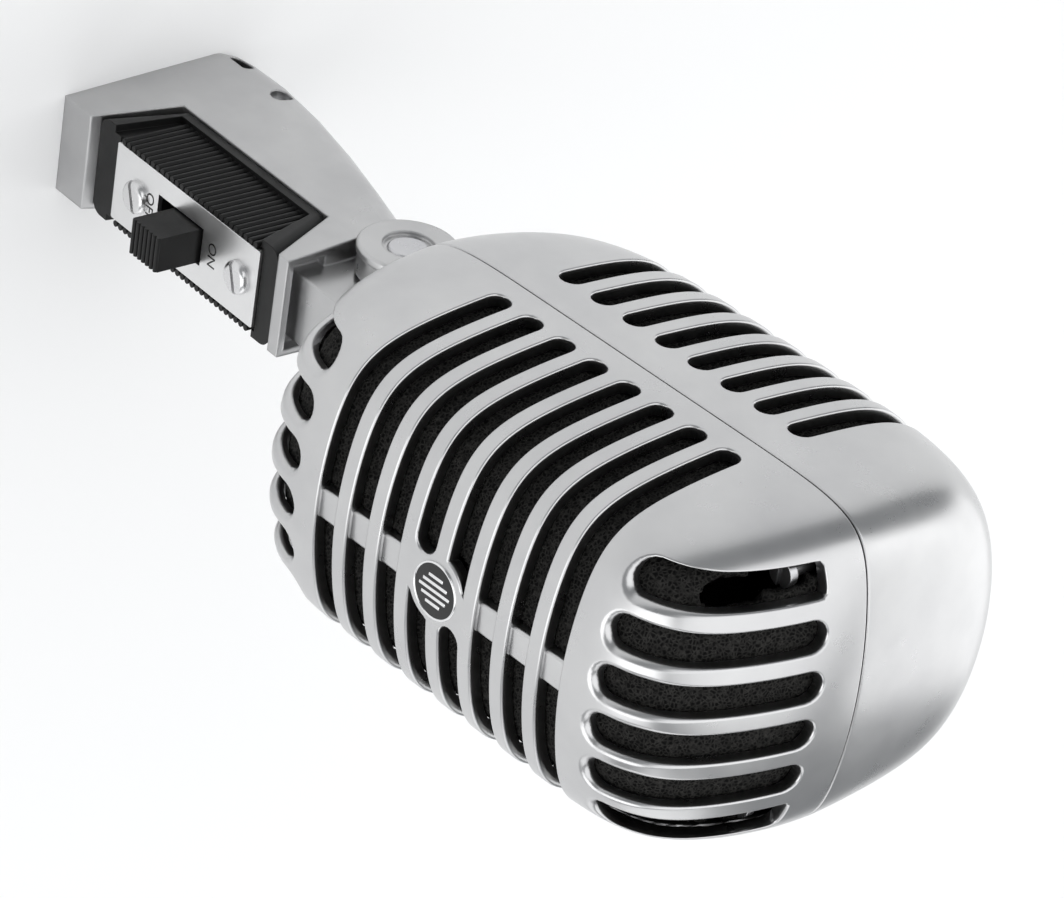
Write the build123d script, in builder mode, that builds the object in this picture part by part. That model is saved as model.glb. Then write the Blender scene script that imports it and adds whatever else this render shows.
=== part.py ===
"""Vintage-style moving-coil vocal microphone on a self-tensioning swivel base.

Row frame, millimetres: origin at the centre of the stand thread's mouth, +Z up along the
thread, -Y towards the singer, X across. The head's parts are drawn about the head's own
centre and moved to where the head rests, leaning back a little on its swivel.
"""

import os
from math import cos, pi, sin

from build123d import *

# ---------------------------------------------------------------- driving dimensions
# Head surface: three barrelled walls blended into one smooth shell (see head_section).
HEAD_HALF_WIDTH = 28.5
HEAD_HALF_HEIGHT = 53.6
FRONT_DEPTH = 37.8
FRONT_SIDE_CROWN = 168.0  # crown radius of the side walls, seen from above
FRONT_FACE_CROWN = 60.0  # crown radius of the face, seen from above
FRONT_TOP_CROWN = 68.0  # crown radius of the dome, seen from the side
TOP_CROWN_ACROSS = 78.0  # crown radius of the dome, seen from the front
FRONT_BLEND = 10.0  # exponent that blends the walls: larger is a tighter corner
REAR_DEPTH = 38.5
REAR_SIDE_CROWN = 400.0
REAR_FACE_CROWN = 60.0
REAR_TOP_CROWN = 80.0
REAR_BLEND = 5.0  # reached at the very back: the corners open out from the seam
REAR_SWEEP = 0.004  # the rear half rises by this times its depth squared
WALL = 2.2
SEAM_Y = -1.2
SEAM_GAP = 0.25

# Horizontal slots round the head
SLOT_COUNT = 8
SLOT_PITCH = 7.31
SLOT_WIDTH = 4.3
FRONT_SLOT_END_Y = -5.5
REAR_SLOT_END_Y = 5.8
REAR_SPINE_HALF = 6.0
REAR_SLOT_TILT = 4.5

# Slots over the top and under the bottom of the front shell
DOME_SLOT_COUNT = 6
DOME_SLOT_PITCH = 8.27
DOME_SLOT_WIDTH = 5.3
DOME_SLOT_START_Z = 33.7
DOME_SLOT_END_Y = -8.7

# Centre bar and badge
BAR_WIDTH = 5.4
BAR_FRONT_Y = -36.8
BAR_THICK = 2.6
BOSS_RADIUS = 6.0
BOSS_FRONT_Y = -37.9
BADGE_RADIUS = 4.7
BADGE_THICK = 0.9

# Foam liner
FOAM_GAP = 0.2
FOAM_THICK = 3.0
FOAM_CLEARANCE = 0.4  # cut wider than the web or bar that passes through, both sides together
FOAM_LUG_CLEARANCE = 1.2
FOAM_WINDOW_SIZE = (42.0, 34.0)

# Swivel
HINGE_Y = 9.6
HINGE_Z = 69.8
HEAD_ABOVE_HINGE = 66.6
HEAD_AHEAD_OF_HINGE = 12.2
LEAN_BACK = 3.8
EAR_RADIUS = 8.45
EAR_BODY_RADIUS = 8.1
EAR_INNER_X = 6.9
EAR_OUTER_X = 12.3
PIN_RADIUS = 3.4
PIN_RUNNING_GAP = 0.05
TONGUE_HALF_WIDTH = 6.0
TONGUE_RADIUS = 15.7
TONGUE_FRONT = 14.9
TONGUE_CLEARANCE = 0.5
SADDLE_BOTTOM = 19.3
SADDLE_THICK = 2.6
SEAT_CLEARANCE = 0.2
YOKE_BOSS_RADIUS = 2.6
YOKE_BOSS_HEIGHT = 4.0
YOKE_SCREW_BITE = 3.0
WINDOW_REACH = 24.0  # height of the opening under the head, taken about its lowest point

# Base housing, positions given from the hinge (forward is negative)
FOOT_FRONT = -19.0
FOOT_HALF_WIDTH = 8.8
BODY_FRONT = -3.4
BODY_FRONT_HALF_WIDTH = 9.6
BODY_HALF_WIDTH = 10.3
REAR_CORNER = 7.0
SHOULDER_Z = -9.0
# (height, how far back the body reaches there)
REAR_OF_BODY = (
    (-69.8, 18.2),
    (-68.4, 19.4),
    (-65.0, 20.1),
    (-57.0, 20.2),
    (-46.0, 18.9),
    (-34.0, 16.4),
    (-22.0, 13.2),
    (-9.0, 9.4),
)
BEZEL_LOW_FRONT_Z = -62.1
BEZEL_LOW_REAR_Z = -57.8
BEZEL_HIGH_FRONT_Z = -10.9
BEZEL_HIGH_REAR_Z = -16.7

# Stand thread, 5/8 inch major diameter, and the three-pin socket beside it
STAND_RADIUS = 7.94
STAND_DEPTH = 7.0
SOCKET_Y = 18.2
SOCKET_RADIUS = 8.1
SOCKET_DEPTH = 14.0
CONTACT_RADIUS = 1.18
CONTACT_CIRCLE = 3.75

# Switch
BEZEL_FRONT = -17.2
BEZEL_REAR = -3.5
BEZEL_HALF_WIDTH = 9.0
BLOCK_HALF_WIDTH = 7.7
BLOCK_FRONT = -16.9
BLOCK_REAR = -5.2
RIDGE_COUNT = 28
RIDGE_RADIUS = 0.55
RIDGE_MARGIN = 0.8
PLATE_HALF_WIDTH = 7.05
PLATE_LOW_Z = -55.5
PLATE_HIGH_Z = -15.2
PLATE_THICK = 0.9
WINDOW_LOW_Z = -43.2
WINDOW_HIGH_Z = -30.4
WINDOW_HALF_WIDTH = 3.4
KNOB_LOW_Z = -38.8
KNOB_HIGH_Z = -31.0
KNOB_HALF_WIDTH = 3.1
KNOB_REACH = 8.0
KNOB_INNER_Y = -14.0
PLATE_SCREW_Z = (-48.9, -20.0)
PLATE_SCREW_RADIUS = 1.1
GRIP_COUNT = 7
GRIP_RADIUS = 0.42

os.makedirs("parts", exist_ok=True)

hinge = Location((0, HINGE_Y, HINGE_Z))
head_rest = hinge * Location((0, 0, 0), (-LEAN_BACK, 0, 0)) * Location(
    (0, -HEAD_AHEAD_OF_HINGE, HEAD_ABOVE_HINGE)
)


def save(piece, label, place=None):
    """Moves a finished piece to its place, labels it and writes its STEP file."""
    if place is not None:
        piece.part.move(place)
    piece.part.label = label
    export_step(piece.part, f"parts/{label}.step")


# ---------------------------------------------------------------- head surface
def head_level(x, y, z, inset):
    """Below 1 inside the head's skin drawn in by inset, 1 on it and above 1 outside it."""
    behind = y > 0
    back = max(y, 0.0)
    depth = REAR_DEPTH if behind else FRONT_DEPTH
    side = REAR_SIDE_CROWN if behind else FRONT_SIDE_CROWN
    face = REAR_FACE_CROWN if behind else FRONT_FACE_CROWN
    top = REAR_TOP_CROWN if behind else FRONT_TOP_CROWN
    blend = FRONT_BLEND + (REAR_BLEND - FRONT_BLEND) * back / REAR_DEPTH
    rise = REAR_SWEEP * back * back
    across = (abs(x) + y * y / (2 * side)) / (HEAD_HALF_WIDTH - inset)
    along = (abs(y) + x * x / (2 * face)) / (depth - inset)
    crowned = abs(z - rise) + y * y / (2 * top) + x * x / (2 * TOP_CROWN_ACROSS)
    up = crowned / (HEAD_HALF_HEIGHT - inset)
    return across**blend + along**blend + up**blend


def head_section(z, inset, points=36):
    """The skin's outline at one height, as points at even angles round the head's axis."""
    outline = []
    for i in range(points):
        angle = 2 * pi * i / points
        near, far = 0.0, 90.0
        for _ in range(40):
            reach = (near + far) / 2
            level = head_level(reach * cos(angle), reach * sin(angle), z, inset)
            near, far = (reach, far) if level < 1 else (near, reach)
        outline.append((near * cos(angle), near * sin(angle)))
    return outline


def section_heights(inset):
    """Heights of the lofted sections, closer together where the dome turns in."""
    top = HEAD_HALF_HEIGHT - inset
    steps = (0.0, 0.30, 0.52, 0.66, 0.76, 0.84, 0.90, 0.945, 0.975, 0.993)
    return [-top * s for s in reversed(steps[1:])] + [top * s for s in steps]


def head_solid(inset):
    """A closed solid bounded by the head's skin drawn in by inset."""
    with BuildPart() as solid:
        for z in section_heights(inset):
            with BuildSketch(Plane.XY.offset(z)):
                with BuildLine():
                    Spline(*head_section(z, inset), periodic=True)
                make_face()
        loft()
    return solid.part


outer_skin = head_solid(0.0)
inner_skin = head_solid(WALL)
foam_outer = head_solid(WALL + FOAM_GAP)
foam_inner = head_solid(WALL + FOAM_GAP + FOAM_THICK)

REACH = 80.0
slot_heights = [(i - (SLOT_COUNT - 1) / 2) * SLOT_PITCH for i in range(SLOT_COUNT)]
dome_slot_places = [(i - (DOME_SLOT_COUNT - 1) / 2) * DOME_SLOT_PITCH for i in range(DOME_SLOT_COUNT)]
hinge_in_head = (HEAD_AHEAD_OF_HINGE, -HEAD_ABOVE_HINGE)


def seam_block(face_y, towards):
    """A large block on one side of the seam: towards is -1 for the front and 1 for the rear."""
    with BuildPart() as block:
        with Locations((0, face_y + towards * REACH / 2, 0)):
            Box(2 * REACH, REACH, 2 * REACH)
    return block.part


front_half = seam_block(SEAM_Y - SEAM_GAP / 2, -1)
rear_half = seam_block(SEAM_Y + SEAM_GAP / 2, 1)

with BuildPart() as swivel_window:
    # room for the tongue to swing in, and for the two ears that hold its pin
    with BuildSketch(Plane.YZ):
        with Locations(hinge_in_head):
            Circle(TONGUE_RADIUS + TONGUE_CLEARANCE)
    extrude(amount=TONGUE_HALF_WIDTH + TONGUE_CLEARANCE, both=True)
    with Locations((0, HEAD_AHEAD_OF_HINGE, -HEAD_HALF_HEIGHT)):
        Box(2 * EAR_OUTER_X, 2 * EAR_RADIUS, WINDOW_REACH)

with BuildPart() as front_slots:
    with BuildSketch(Plane.YZ):
        for z in slot_heights:
            with Locations((FRONT_SLOT_END_Y - SLOT_WIDTH / 2, z)):
                Circle(SLOT_WIDTH / 2)
            with Locations((FRONT_SLOT_END_Y - SLOT_WIDTH / 2 - REACH / 2, z)):
                Rectangle(REACH, SLOT_WIDTH)
    extrude(amount=REACH / 2, both=True)

with BuildPart() as rear_slots:
    for side in (1, -1):
        with BuildSketch(Plane.YZ.offset(REAR_SPINE_HALF if side > 0 else -REAR_SPINE_HALF)):
            for z in slot_heights:
                with Locations(Location((REAR_SLOT_END_Y + SLOT_WIDTH / 2, z), REAR_SLOT_TILT)):
                    Circle(SLOT_WIDTH / 2)
                    with Locations((REACH / 2, 0)):
                        Rectangle(REACH, SLOT_WIDTH)
        extrude(amount=side * REACH / 2)

with BuildPart() as dome_slots:
    for end in (1, -1):
        # the stretch down the face, with its round front end
        with BuildSketch(Plane.XZ.offset(FRONT_DEPTH - 18)):
            for x in dome_slot_places:
                with Locations((x, end * (DOME_SLOT_START_Z + DOME_SLOT_WIDTH / 2))):
                    Circle(DOME_SLOT_WIDTH / 2)
                with Locations((x, end * (DOME_SLOT_START_Z + DOME_SLOT_WIDTH / 2 + REACH / 2))):
                    Rectangle(DOME_SLOT_WIDTH, REACH)
        extrude(amount=REACH)
        # the stretch over the dome, round behind except for the outer pair
        with BuildSketch(Plane.XY.offset(end * (HEAD_HALF_HEIGHT - 15))):
            for x in dome_slot_places:
                outermost = abs(x) > 2 * DOME_SLOT_PITCH
                square_to = DOME_SLOT_END_Y - (0 if outermost else DOME_SLOT_WIDTH / 2)
                with Locations((x, square_to - REACH / 2)):
                    Rectangle(DOME_SLOT_WIDTH, REACH)
                if not outermost:
                    with Locations((x, square_to)):
                        Circle(DOME_SLOT_WIDTH / 2)
        extrude(amount=end * REACH)


# ---------------------------------------------------------------- front and rear shells
SHELL_LUG_RADIUS = 2.6
SHELL_LUG_FRONT = -11.6
SHELL_LUG_REAR = 7.0
LUG_WEB_FRONT = -8.2  # behind the outermost dome slots
LUG_WEB_LENGTH = 9.0
LUG_WEB_THICK = 2.4
SHELL_SCREW_RADIUS = 1.25
SHELL_SCREW_HEAD = 2.3
screw_places = [(x, z) for x in (-20.3, 20.3) for z in (-44.6, 44.6)]
YOKE_SCREW_X = 15.8
YOKE_SCREW_Y = 7.6
YOKE_SCREW_RADIUS = 1.1
SADDLE_HALF_LENGTH = 17.2
SADDLE_REAR = 4.8
saddle_low = SADDLE_BOTTOM - HEAD_ABOVE_HINGE


def lug_webs(front_y, rear_y):
    """Webs that tie the four screw lugs to the side walls."""
    with BuildPart() as webs:
        for x, z in screw_places:
            outward = LUG_WEB_LENGTH / 2 if x > 0 else -LUG_WEB_LENGTH / 2
            with Locations((x + outward, (front_y + rear_y) / 2, z)):
                Box(LUG_WEB_LENGTH, rear_y - front_y, LUG_WEB_THICK)
        add(outer_skin, mode=Mode.INTERSECT)
    return webs.part


with BuildPart() as front_shell:
    add(outer_skin)
    add(front_half, mode=Mode.INTERSECT)
    add(inner_skin, mode=Mode.SUBTRACT)
    add(front_slots.part, mode=Mode.SUBTRACT)
    add(dome_slots.part, mode=Mode.SUBTRACT)
    # recessed centre bar and the round boss that carries the badge
    with BuildSketch(Plane.XZ.offset(-BAR_FRONT_Y)):
        Rectangle(BAR_WIDTH, (SLOT_COUNT - 1) * SLOT_PITCH + SLOT_WIDTH + 2)
    extrude(amount=-BAR_THICK)
    with BuildSketch(Plane.XZ.offset(-BOSS_FRONT_Y)):
        Circle(BOSS_RADIUS)
    extrude(amount=-(BAR_THICK + BAR_FRONT_Y - BOSS_FRONT_Y))
    with BuildSketch(Plane.XZ.offset(-BOSS_FRONT_Y)):
        Circle(BADGE_RADIUS)
    extrude(amount=-BADGE_THICK, mode=Mode.SUBTRACT)
    with BuildSketch(Plane.XZ.offset(-SHELL_LUG_FRONT)):
        with Locations(*screw_places):
            Circle(SHELL_LUG_RADIUS)
    extrude(amount=-(SEAM_Y - SEAM_GAP / 2 - SHELL_LUG_FRONT))
    add(lug_webs(LUG_WEB_FRONT, SEAM_Y - SEAM_GAP / 2))
    with BuildSketch(Plane.XZ.offset(-SHELL_LUG_FRONT)):
        with Locations(*screw_places):
            Circle(SHELL_SCREW_RADIUS)
    extrude(amount=-REACH, mode=Mode.SUBTRACT)
    add(swivel_window.part, mode=Mode.SUBTRACT)
save(front_shell, "front_shell", head_rest)

with BuildPart() as rear_shell:
    add(outer_skin)
    add(rear_half, mode=Mode.INTERSECT)
    add(inner_skin, mode=Mode.SUBTRACT)
    add(rear_slots.part, mode=Mode.SUBTRACT)
    # lugs that take the shell screws, and two bosses that take the yoke's screws
    with BuildSketch(Plane.XZ.offset(-SEAM_Y - SEAM_GAP / 2)):
        with Locations(*screw_places):
            Circle(SHELL_LUG_RADIUS)
            Circle(SHELL_SCREW_RADIUS, mode=Mode.SUBTRACT)
    extrude(amount=-(SHELL_LUG_REAR - SEAM_Y))
    add(lug_webs(SEAM_Y + SEAM_GAP / 2, SHELL_LUG_REAR))
    with BuildSketch(Plane.XZ.offset(REACH)):
        with Locations(*screw_places):
            Circle(SHELL_SCREW_RADIUS)
    extrude(amount=-(REACH + SHELL_LUG_REAR - 1), mode=Mode.SUBTRACT)
    with BuildSketch(Plane.XY.offset(saddle_low)):
        with Locations((-YOKE_SCREW_X, YOKE_SCREW_Y), (YOKE_SCREW_X, YOKE_SCREW_Y)):
            Circle(YOKE_BOSS_RADIUS)
    extrude(amount=-YOKE_BOSS_HEIGHT)
    with BuildSketch(Plane.XY.offset(saddle_low)):
        with Locations((-YOKE_SCREW_X, YOKE_SCREW_Y), (YOKE_SCREW_X, YOKE_SCREW_Y)):
            Circle(YOKE_SCREW_RADIUS)
    extrude(amount=-YOKE_SCREW_BITE, mode=Mode.SUBTRACT)
    add(outer_skin, mode=Mode.INTERSECT)
    add(swivel_window.part, mode=Mode.SUBTRACT)
    # seat for the yoke's saddle plate
    seat_y = HEAD_AHEAD_OF_HINGE + (SADDLE_REAR - EAR_BODY_RADIUS) / 2
    with Locations((0, seat_y, saddle_low + SADDLE_THICK)):
        Box(
            2 * SADDLE_HALF_LENGTH + SEAT_CLEARANCE,
            SADDLE_REAR + EAR_BODY_RADIUS + SEAT_CLEARANCE,
            2 * SADDLE_THICK,
            mode=Mode.SUBTRACT,
        )
save(rear_shell, "rear_shell", head_rest)

with BuildPart() as shell_screws:
    with BuildSketch(Plane.XZ.offset(-SHELL_LUG_FRONT)):
        with Locations(*screw_places):
            Circle(SHELL_SCREW_RADIUS)
    extrude(amount=-(SHELL_LUG_REAR - 1 - SHELL_LUG_FRONT))
    with BuildSketch(Plane.XZ.offset(-SHELL_LUG_FRONT)):
        with Locations(*screw_places):
            Circle(SHELL_SCREW_HEAD)
    extrude(amount=1.5)
    with BuildSketch(Plane.XZ.offset(-SHELL_LUG_FRONT + 1.5)):
        with Locations(*screw_places):
            Rectangle(5, 0.7)
    extrude(amount=-0.7, mode=Mode.SUBTRACT)
save(shell_screws, "shell_screws", head_rest)

with BuildPart() as badge:
    with BuildSketch(Plane.XZ.offset(-BOSS_FRONT_Y - BADGE_THICK)):
        Circle(BADGE_RADIUS - 0.05)
    extrude(amount=BADGE_THICK + 0.15)
save(badge, "badge", head_rest)

# ---------------------------------------------------------------- foam liners
for liner in ("front_foam", "rear_foam"):
    with BuildPart() as foam:
        add(foam_outer)
        add(front_half if liner == "front_foam" else rear_half, mode=Mode.INTERSECT)
        add(foam_inner, mode=Mode.SUBTRACT)
        with BuildSketch(Plane.XZ):
            with Locations(*screw_places):
                Circle(SHELL_SCREW_HEAD + FOAM_LUG_CLEARANCE)
            with Locations(*[(1.2 * x, z) for x, z in screw_places]):
                Rectangle(2 * LUG_WEB_LENGTH, LUG_WEB_THICK + FOAM_CLEARANCE)
        extrude(amount=REACH / 2, both=True, mode=Mode.SUBTRACT)
        with Locations((0, BAR_FRONT_Y, 0)):
            bar_cut_depth = 2 * BAR_THICK + FOAM_CLEARANCE
            Box(BAR_WIDTH + FOAM_CLEARANCE, bar_cut_depth, 2 * REACH, mode=Mode.SUBTRACT)
        with BuildSketch(Plane.XZ.offset(REACH / 2)):
            Circle(BOSS_RADIUS + FOAM_CLEARANCE / 2)
        boss_cut_depth = REACH / 2 + BAR_FRONT_Y + BAR_THICK + FOAM_CLEARANCE / 2
        extrude(amount=-boss_cut_depth, mode=Mode.SUBTRACT)
        with Locations((0, HEAD_AHEAD_OF_HINGE, -HEAD_HALF_HEIGHT)):
            Box(*FOAM_WINDOW_SIZE, WINDOW_REACH, mode=Mode.SUBTRACT)
    save(foam, liner, head_rest)

# ---------------------------------------------------------------- swivel
DISC_THICK = 1.5
RECESS_RADIUS = 4.4
RECESS_DEPTH = 0.8
WASHER_THICK = 0.55
YOKE_SCREW_HEAD_RADIUS = 2.1
YOKE_SCREW_HEAD_HEIGHT = 1.4
PIN_INSET = 0.45
ears = (1, -1)
upright = (Align.CENTER, Align.CENTER, Align.MIN)

with BuildPart() as swivel_yoke:
    # drawn about the hinge axis, in the head's own upright position
    for side in ears:
        with BuildSketch(Plane.YZ.offset(side * EAR_INNER_X)):
            Circle(EAR_BODY_RADIUS)
            with Locations((0, (SADDLE_BOTTOM + SADDLE_THICK) / 2)):
                Rectangle(2 * EAR_BODY_RADIUS, SADDLE_BOTTOM + SADDLE_THICK)
        extrude(amount=side * (EAR_OUTER_X - EAR_INNER_X - DISC_THICK))
        with BuildSketch(Plane.YZ.offset(side * (EAR_OUTER_X - DISC_THICK))):
            Circle(EAR_RADIUS)
        extrude(amount=side * DISC_THICK)
    disc_rims = edges().filter_by(GeomType.CIRCLE)
    chamfer(disc_rims.filter_by(lambda e: abs(abs(e.center().X) - EAR_OUTER_X) < 0.01), 0.4)
    with Locations((0, (SADDLE_REAR - EAR_BODY_RADIUS) / 2, SADDLE_BOTTOM + SADDLE_THICK / 2)):
        Box(2 * SADDLE_HALF_LENGTH, SADDLE_REAR + EAR_BODY_RADIUS, SADDLE_THICK)
    with BuildSketch(Plane.YZ):
        Circle(PIN_RADIUS)
    extrude(amount=REACH, both=True, mode=Mode.SUBTRACT)
    for side in ears:
        with BuildSketch(Plane.YZ.offset(side * EAR_OUTER_X)):
            Circle(RECESS_RADIUS)
        extrude(amount=-side * RECESS_DEPTH, mode=Mode.SUBTRACT)
    with BuildSketch(Plane.XY.offset(SADDLE_BOTTOM)):
        for side in ears:
            with Locations((side * YOKE_SCREW_X, YOKE_SCREW_Y - HEAD_AHEAD_OF_HINGE)):
                Circle(YOKE_SCREW_RADIUS)
    extrude(amount=SADDLE_THICK, mode=Mode.SUBTRACT)
lean = hinge * Location((0, 0, 0), (-LEAN_BACK, 0, 0))
save(swivel_yoke, "swivel_yoke", lean)

with BuildPart() as yoke_screws:
    screw_y = YOKE_SCREW_Y - HEAD_AHEAD_OF_HINGE
    for side in ears:
        with Locations((side * YOKE_SCREW_X, screw_y, SADDLE_BOTTOM)):
            Cylinder(YOKE_SCREW_RADIUS, 2 * SADDLE_THICK)
        with Locations((side * YOKE_SCREW_X, screw_y, SADDLE_BOTTOM + SADDLE_THICK)):
            Cylinder(YOKE_SCREW_HEAD_RADIUS, YOKE_SCREW_HEAD_HEIGHT, align=upright)
save(yoke_screws, "yoke_screws", lean)

with BuildPart() as hinge_pin:
    with BuildSketch(Plane.YZ):
        Circle(PIN_RADIUS)
    extrude(amount=EAR_OUTER_X - PIN_INSET, both=True)
    chamfer(edges().filter_by(GeomType.CIRCLE), 0.3)
save(hinge_pin, "hinge_pin", lean)

with BuildPart() as friction_washers:
    for side in ears:
        with BuildSketch(Plane.YZ.offset(side * EAR_INNER_X)):
            Circle(EAR_BODY_RADIUS - 0.6)
            Circle(PIN_RADIUS, mode=Mode.SUBTRACT)
        extrude(amount=-side * WASHER_THICK)
save(friction_washers, "friction_washers", lean)

# ---------------------------------------------------------------- cartridge and transformer
MOTOR_Z = 2.0
FILM_THICK = 0.25
CUP_RADIUS = 15.6
CUP_BORE = 14.2
CUP_REAR_Y = 8.0
MOUNT_RADIUS = 18.4
CLAMP_BORE = 18.45
CLAMP_RADIUS = 19.6
CLAMP_FRONT_Y = -15.5


def turned(profile):
    """A solid turned about the cartridge's axis: profile is (radius, y) corners."""
    with BuildPart() as piece:
        with BuildSketch(Plane.XY):
            with BuildLine():
                Polyline(*profile, close=True)
            make_face()
        revolve(axis=Axis.Y)
    return piece.part.moved(Location((0, 0, MOTOR_Z)))


with BuildPart() as cartridge_cup:
    cup_section = [(0, CUP_REAR_Y), (0, 6.6), (CUP_BORE, 6.6), (CUP_BORE, -18)]
    cup_section += [(CUP_RADIUS, -18), (CUP_RADIUS, CUP_REAR_Y)]
    add(turned(cup_section))
    with BuildSketch(Plane.XZ.offset(-9)):
        with Locations((0, MOTOR_Z)):
            with PolarLocations(9.5, 6):
                Circle(1.6)
    extrude(amount=4, mode=Mode.SUBTRACT)
save(cartridge_cup, "cartridge_cup", head_rest)

with BuildPart() as magnet_yoke:
    iron_section = [(0, 1), (0, -1.5), (11.5, -1.5), (11.5, -10.5)]
    iron_section += [(6.9, -10.5), (6.9, -12.5), (13.6, -12.5), (13.6, 1)]
    add(turned(iron_section))
save(magnet_yoke, "magnet_yoke", head_rest)

with BuildPart() as magnet:
    add(turned([(0, -1.6), (0, -8.9), (8.5, -8.9), (8.5, -1.6)]))
save(magnet, "magnet", head_rest)

with BuildPart() as pole_piece:
    add(turned([(0, -9.0), (0, -12.6), (5.5, -12.6), (5.5, -9.0)]))
save(pole_piece, "pole_piece", head_rest)

with BuildPart() as voice_coil:
    add(turned([(5.95, -10.8), (5.95, -15.6), (6.45, -15.6), (6.45, -10.8)]))
save(voice_coil, "voice_coil", head_rest)

with BuildPart() as diaphragm:
    film = [(0, -18.4), (3.3, -17.7), (6.2, -15.9), (7.6, -15.9), (10.6, -17.0), (13.6, -15.9)]
    add(turned(film + [(r, y + FILM_THICK) for r, y in reversed(film)]))
save(diaphragm, "diaphragm", head_rest)

with BuildPart() as resonator_plate:
    plate_section = [(0, -19.6), (0, -20.8), (CUP_RADIUS, -20.8)]
    plate_section += [(CUP_RADIUS, -18.1), (14.4, -18.1), (14.4, -19.6)]
    add(turned(plate_section))
    with BuildSketch(Plane.XZ.offset(22)):
        with Locations((0, MOTOR_Z)):
            with PolarLocations(8.5, 10):
                Circle(1.3)
            Circle(2.2)
    extrude(amount=-3, mode=Mode.SUBTRACT)
save(resonator_plate, "resonator_plate", head_rest)

with BuildPart() as shock_mounts:
    for y in (CLAMP_FRONT_Y, 2.5):
        inner = CUP_RADIUS + 0.05
        add(turned([(inner, y), (inner, y + 3), (MOUNT_RADIUS, y + 3), (MOUNT_RADIUS, y)]))
save(shock_mounts, "shock_mounts", head_rest)

LEG_Y = 4.4
LEG_THICK = 1.6
LEG_WIDTH = 11.0
LEG_TOP_Z = MOTOR_Z - CLAMP_BORE - 0.25
FLOOR_Z = saddle_low + SADDLE_THICK + 0.05  # just clear of the saddle plate
LEG_FOOT = 1.2
with BuildPart() as cartridge_bracket:
    leg_rear = LEG_Y + LEG_THICK
    clamp_section = [(CLAMP_BORE, CLAMP_FRONT_Y), (CLAMP_BORE, leg_rear)]
    clamp_section += [(CLAMP_RADIUS, leg_rear), (CLAMP_RADIUS, CLAMP_FRONT_Y)]
    add(turned(clamp_section))
    with Locations((0, LEG_Y + LEG_THICK / 2, (LEG_TOP_Z + FLOOR_Z) / 2)):
        Box(LEG_WIDTH, LEG_THICK, LEG_TOP_Z - FLOOR_Z)
    with Locations((0, leg_rear - LEG_FOOT / 2, FLOOR_Z + LEG_FOOT / 2)):
        Box(24, LEG_FOOT, LEG_FOOT)
save(cartridge_bracket, "cartridge_bracket", head_rest)

CORE_Y = 13.4
CORE_HEIGHT = 14.0
CORE_MIDDLE_Z = FLOOR_Z + CORE_HEIGHT / 2
with BuildPart() as transformer_core:
    with Locations((0, CORE_Y, CORE_MIDDLE_Z)):
        Box(18, 6, CORE_HEIGHT)
        with Locations((4.5, 0, 0), (-4.5, 0, 0)):
            Box(4.6, 8, CORE_HEIGHT - 5, mode=Mode.SUBTRACT)
save(transformer_core, "transformer_core", head_rest)

with BuildPart() as transformer_coil:
    with Locations((0, CORE_Y, CORE_MIDDLE_Z)):
        Box(13.4, 12, CORE_HEIGHT - 5.2)
        Box(4.5, 6.1, CORE_HEIGHT, mode=Mode.SUBTRACT)
        with Locations((7.3, 0, 0), (-7.3, 0, 0)):
            Box(1.4, 6.1, CORE_HEIGHT, mode=Mode.SUBTRACT)
    fillet(edges().filter_by(Axis.Z).group_by(SortBy.DISTANCE)[-1], 1.0)
save(transformer_coil, "transformer_coil", head_rest)

LEAD_RADIUS = 0.5
with BuildPart() as head_leads:
    for side in (1, -1):
        with BuildLine() as route:
            Spline(
                (side * 4, 8.1, MOTOR_Z - 2),
                (side * 4.5, 12.5, MOTOR_Z - 8),
                (side * 4, CORE_Y + 2.5, MOTOR_Z - 20),
                (side * 3.4, CORE_Y + 4.5, FLOOR_Z + CORE_HEIGHT - 2.5),
                tangents=((0, 1, 0), (0, 0, -1)),
            )
        with BuildSketch(Plane(origin=route.line @ 0, z_dir=route.line % 0)):
            Circle(LEAD_RADIUS)
        sweep(path=route.line)
save(head_leads, "head_leads", head_rest)

# ---------------------------------------------------------------- base housing
# Drawn about the hinge, like the swivel, then moved up to it.
BODY_TOP = SHOULDER_Z
WEDGE = 12.0
THREAD_CENTRE = (0, -HINGE_Y)
socket_centre = (0, SOCKET_Y - HINGE_Y)
MOUTH_Z = -HINGE_Z
SOCKET_CEILING = MOUTH_Z + SOCKET_DEPTH
INSERT_THICK = 4.6
PIN_TAIL = 3.0
LEAD_CHANNEL_Y = 6.0
TONGUE_REAR = 9.4
SET_SCREW_PLACE = (13.3, -53.2)
SET_SCREW_RADIUS = 1.95
SET_SCREW_INNER_X = 6.2
SET_SCREW_LENGTH = 2.2
SET_SCREW_BORE_END = 5.5
TENSION_SCREW_RADIUS = 1.5
SLOT_CUT_WIDTH = 0.6
SLOT_CUT_DEPTH = 0.8
CONTACT_TIP_DEPTH = 4.8
LATCH_PLACE = (14.0, -65.6)

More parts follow.
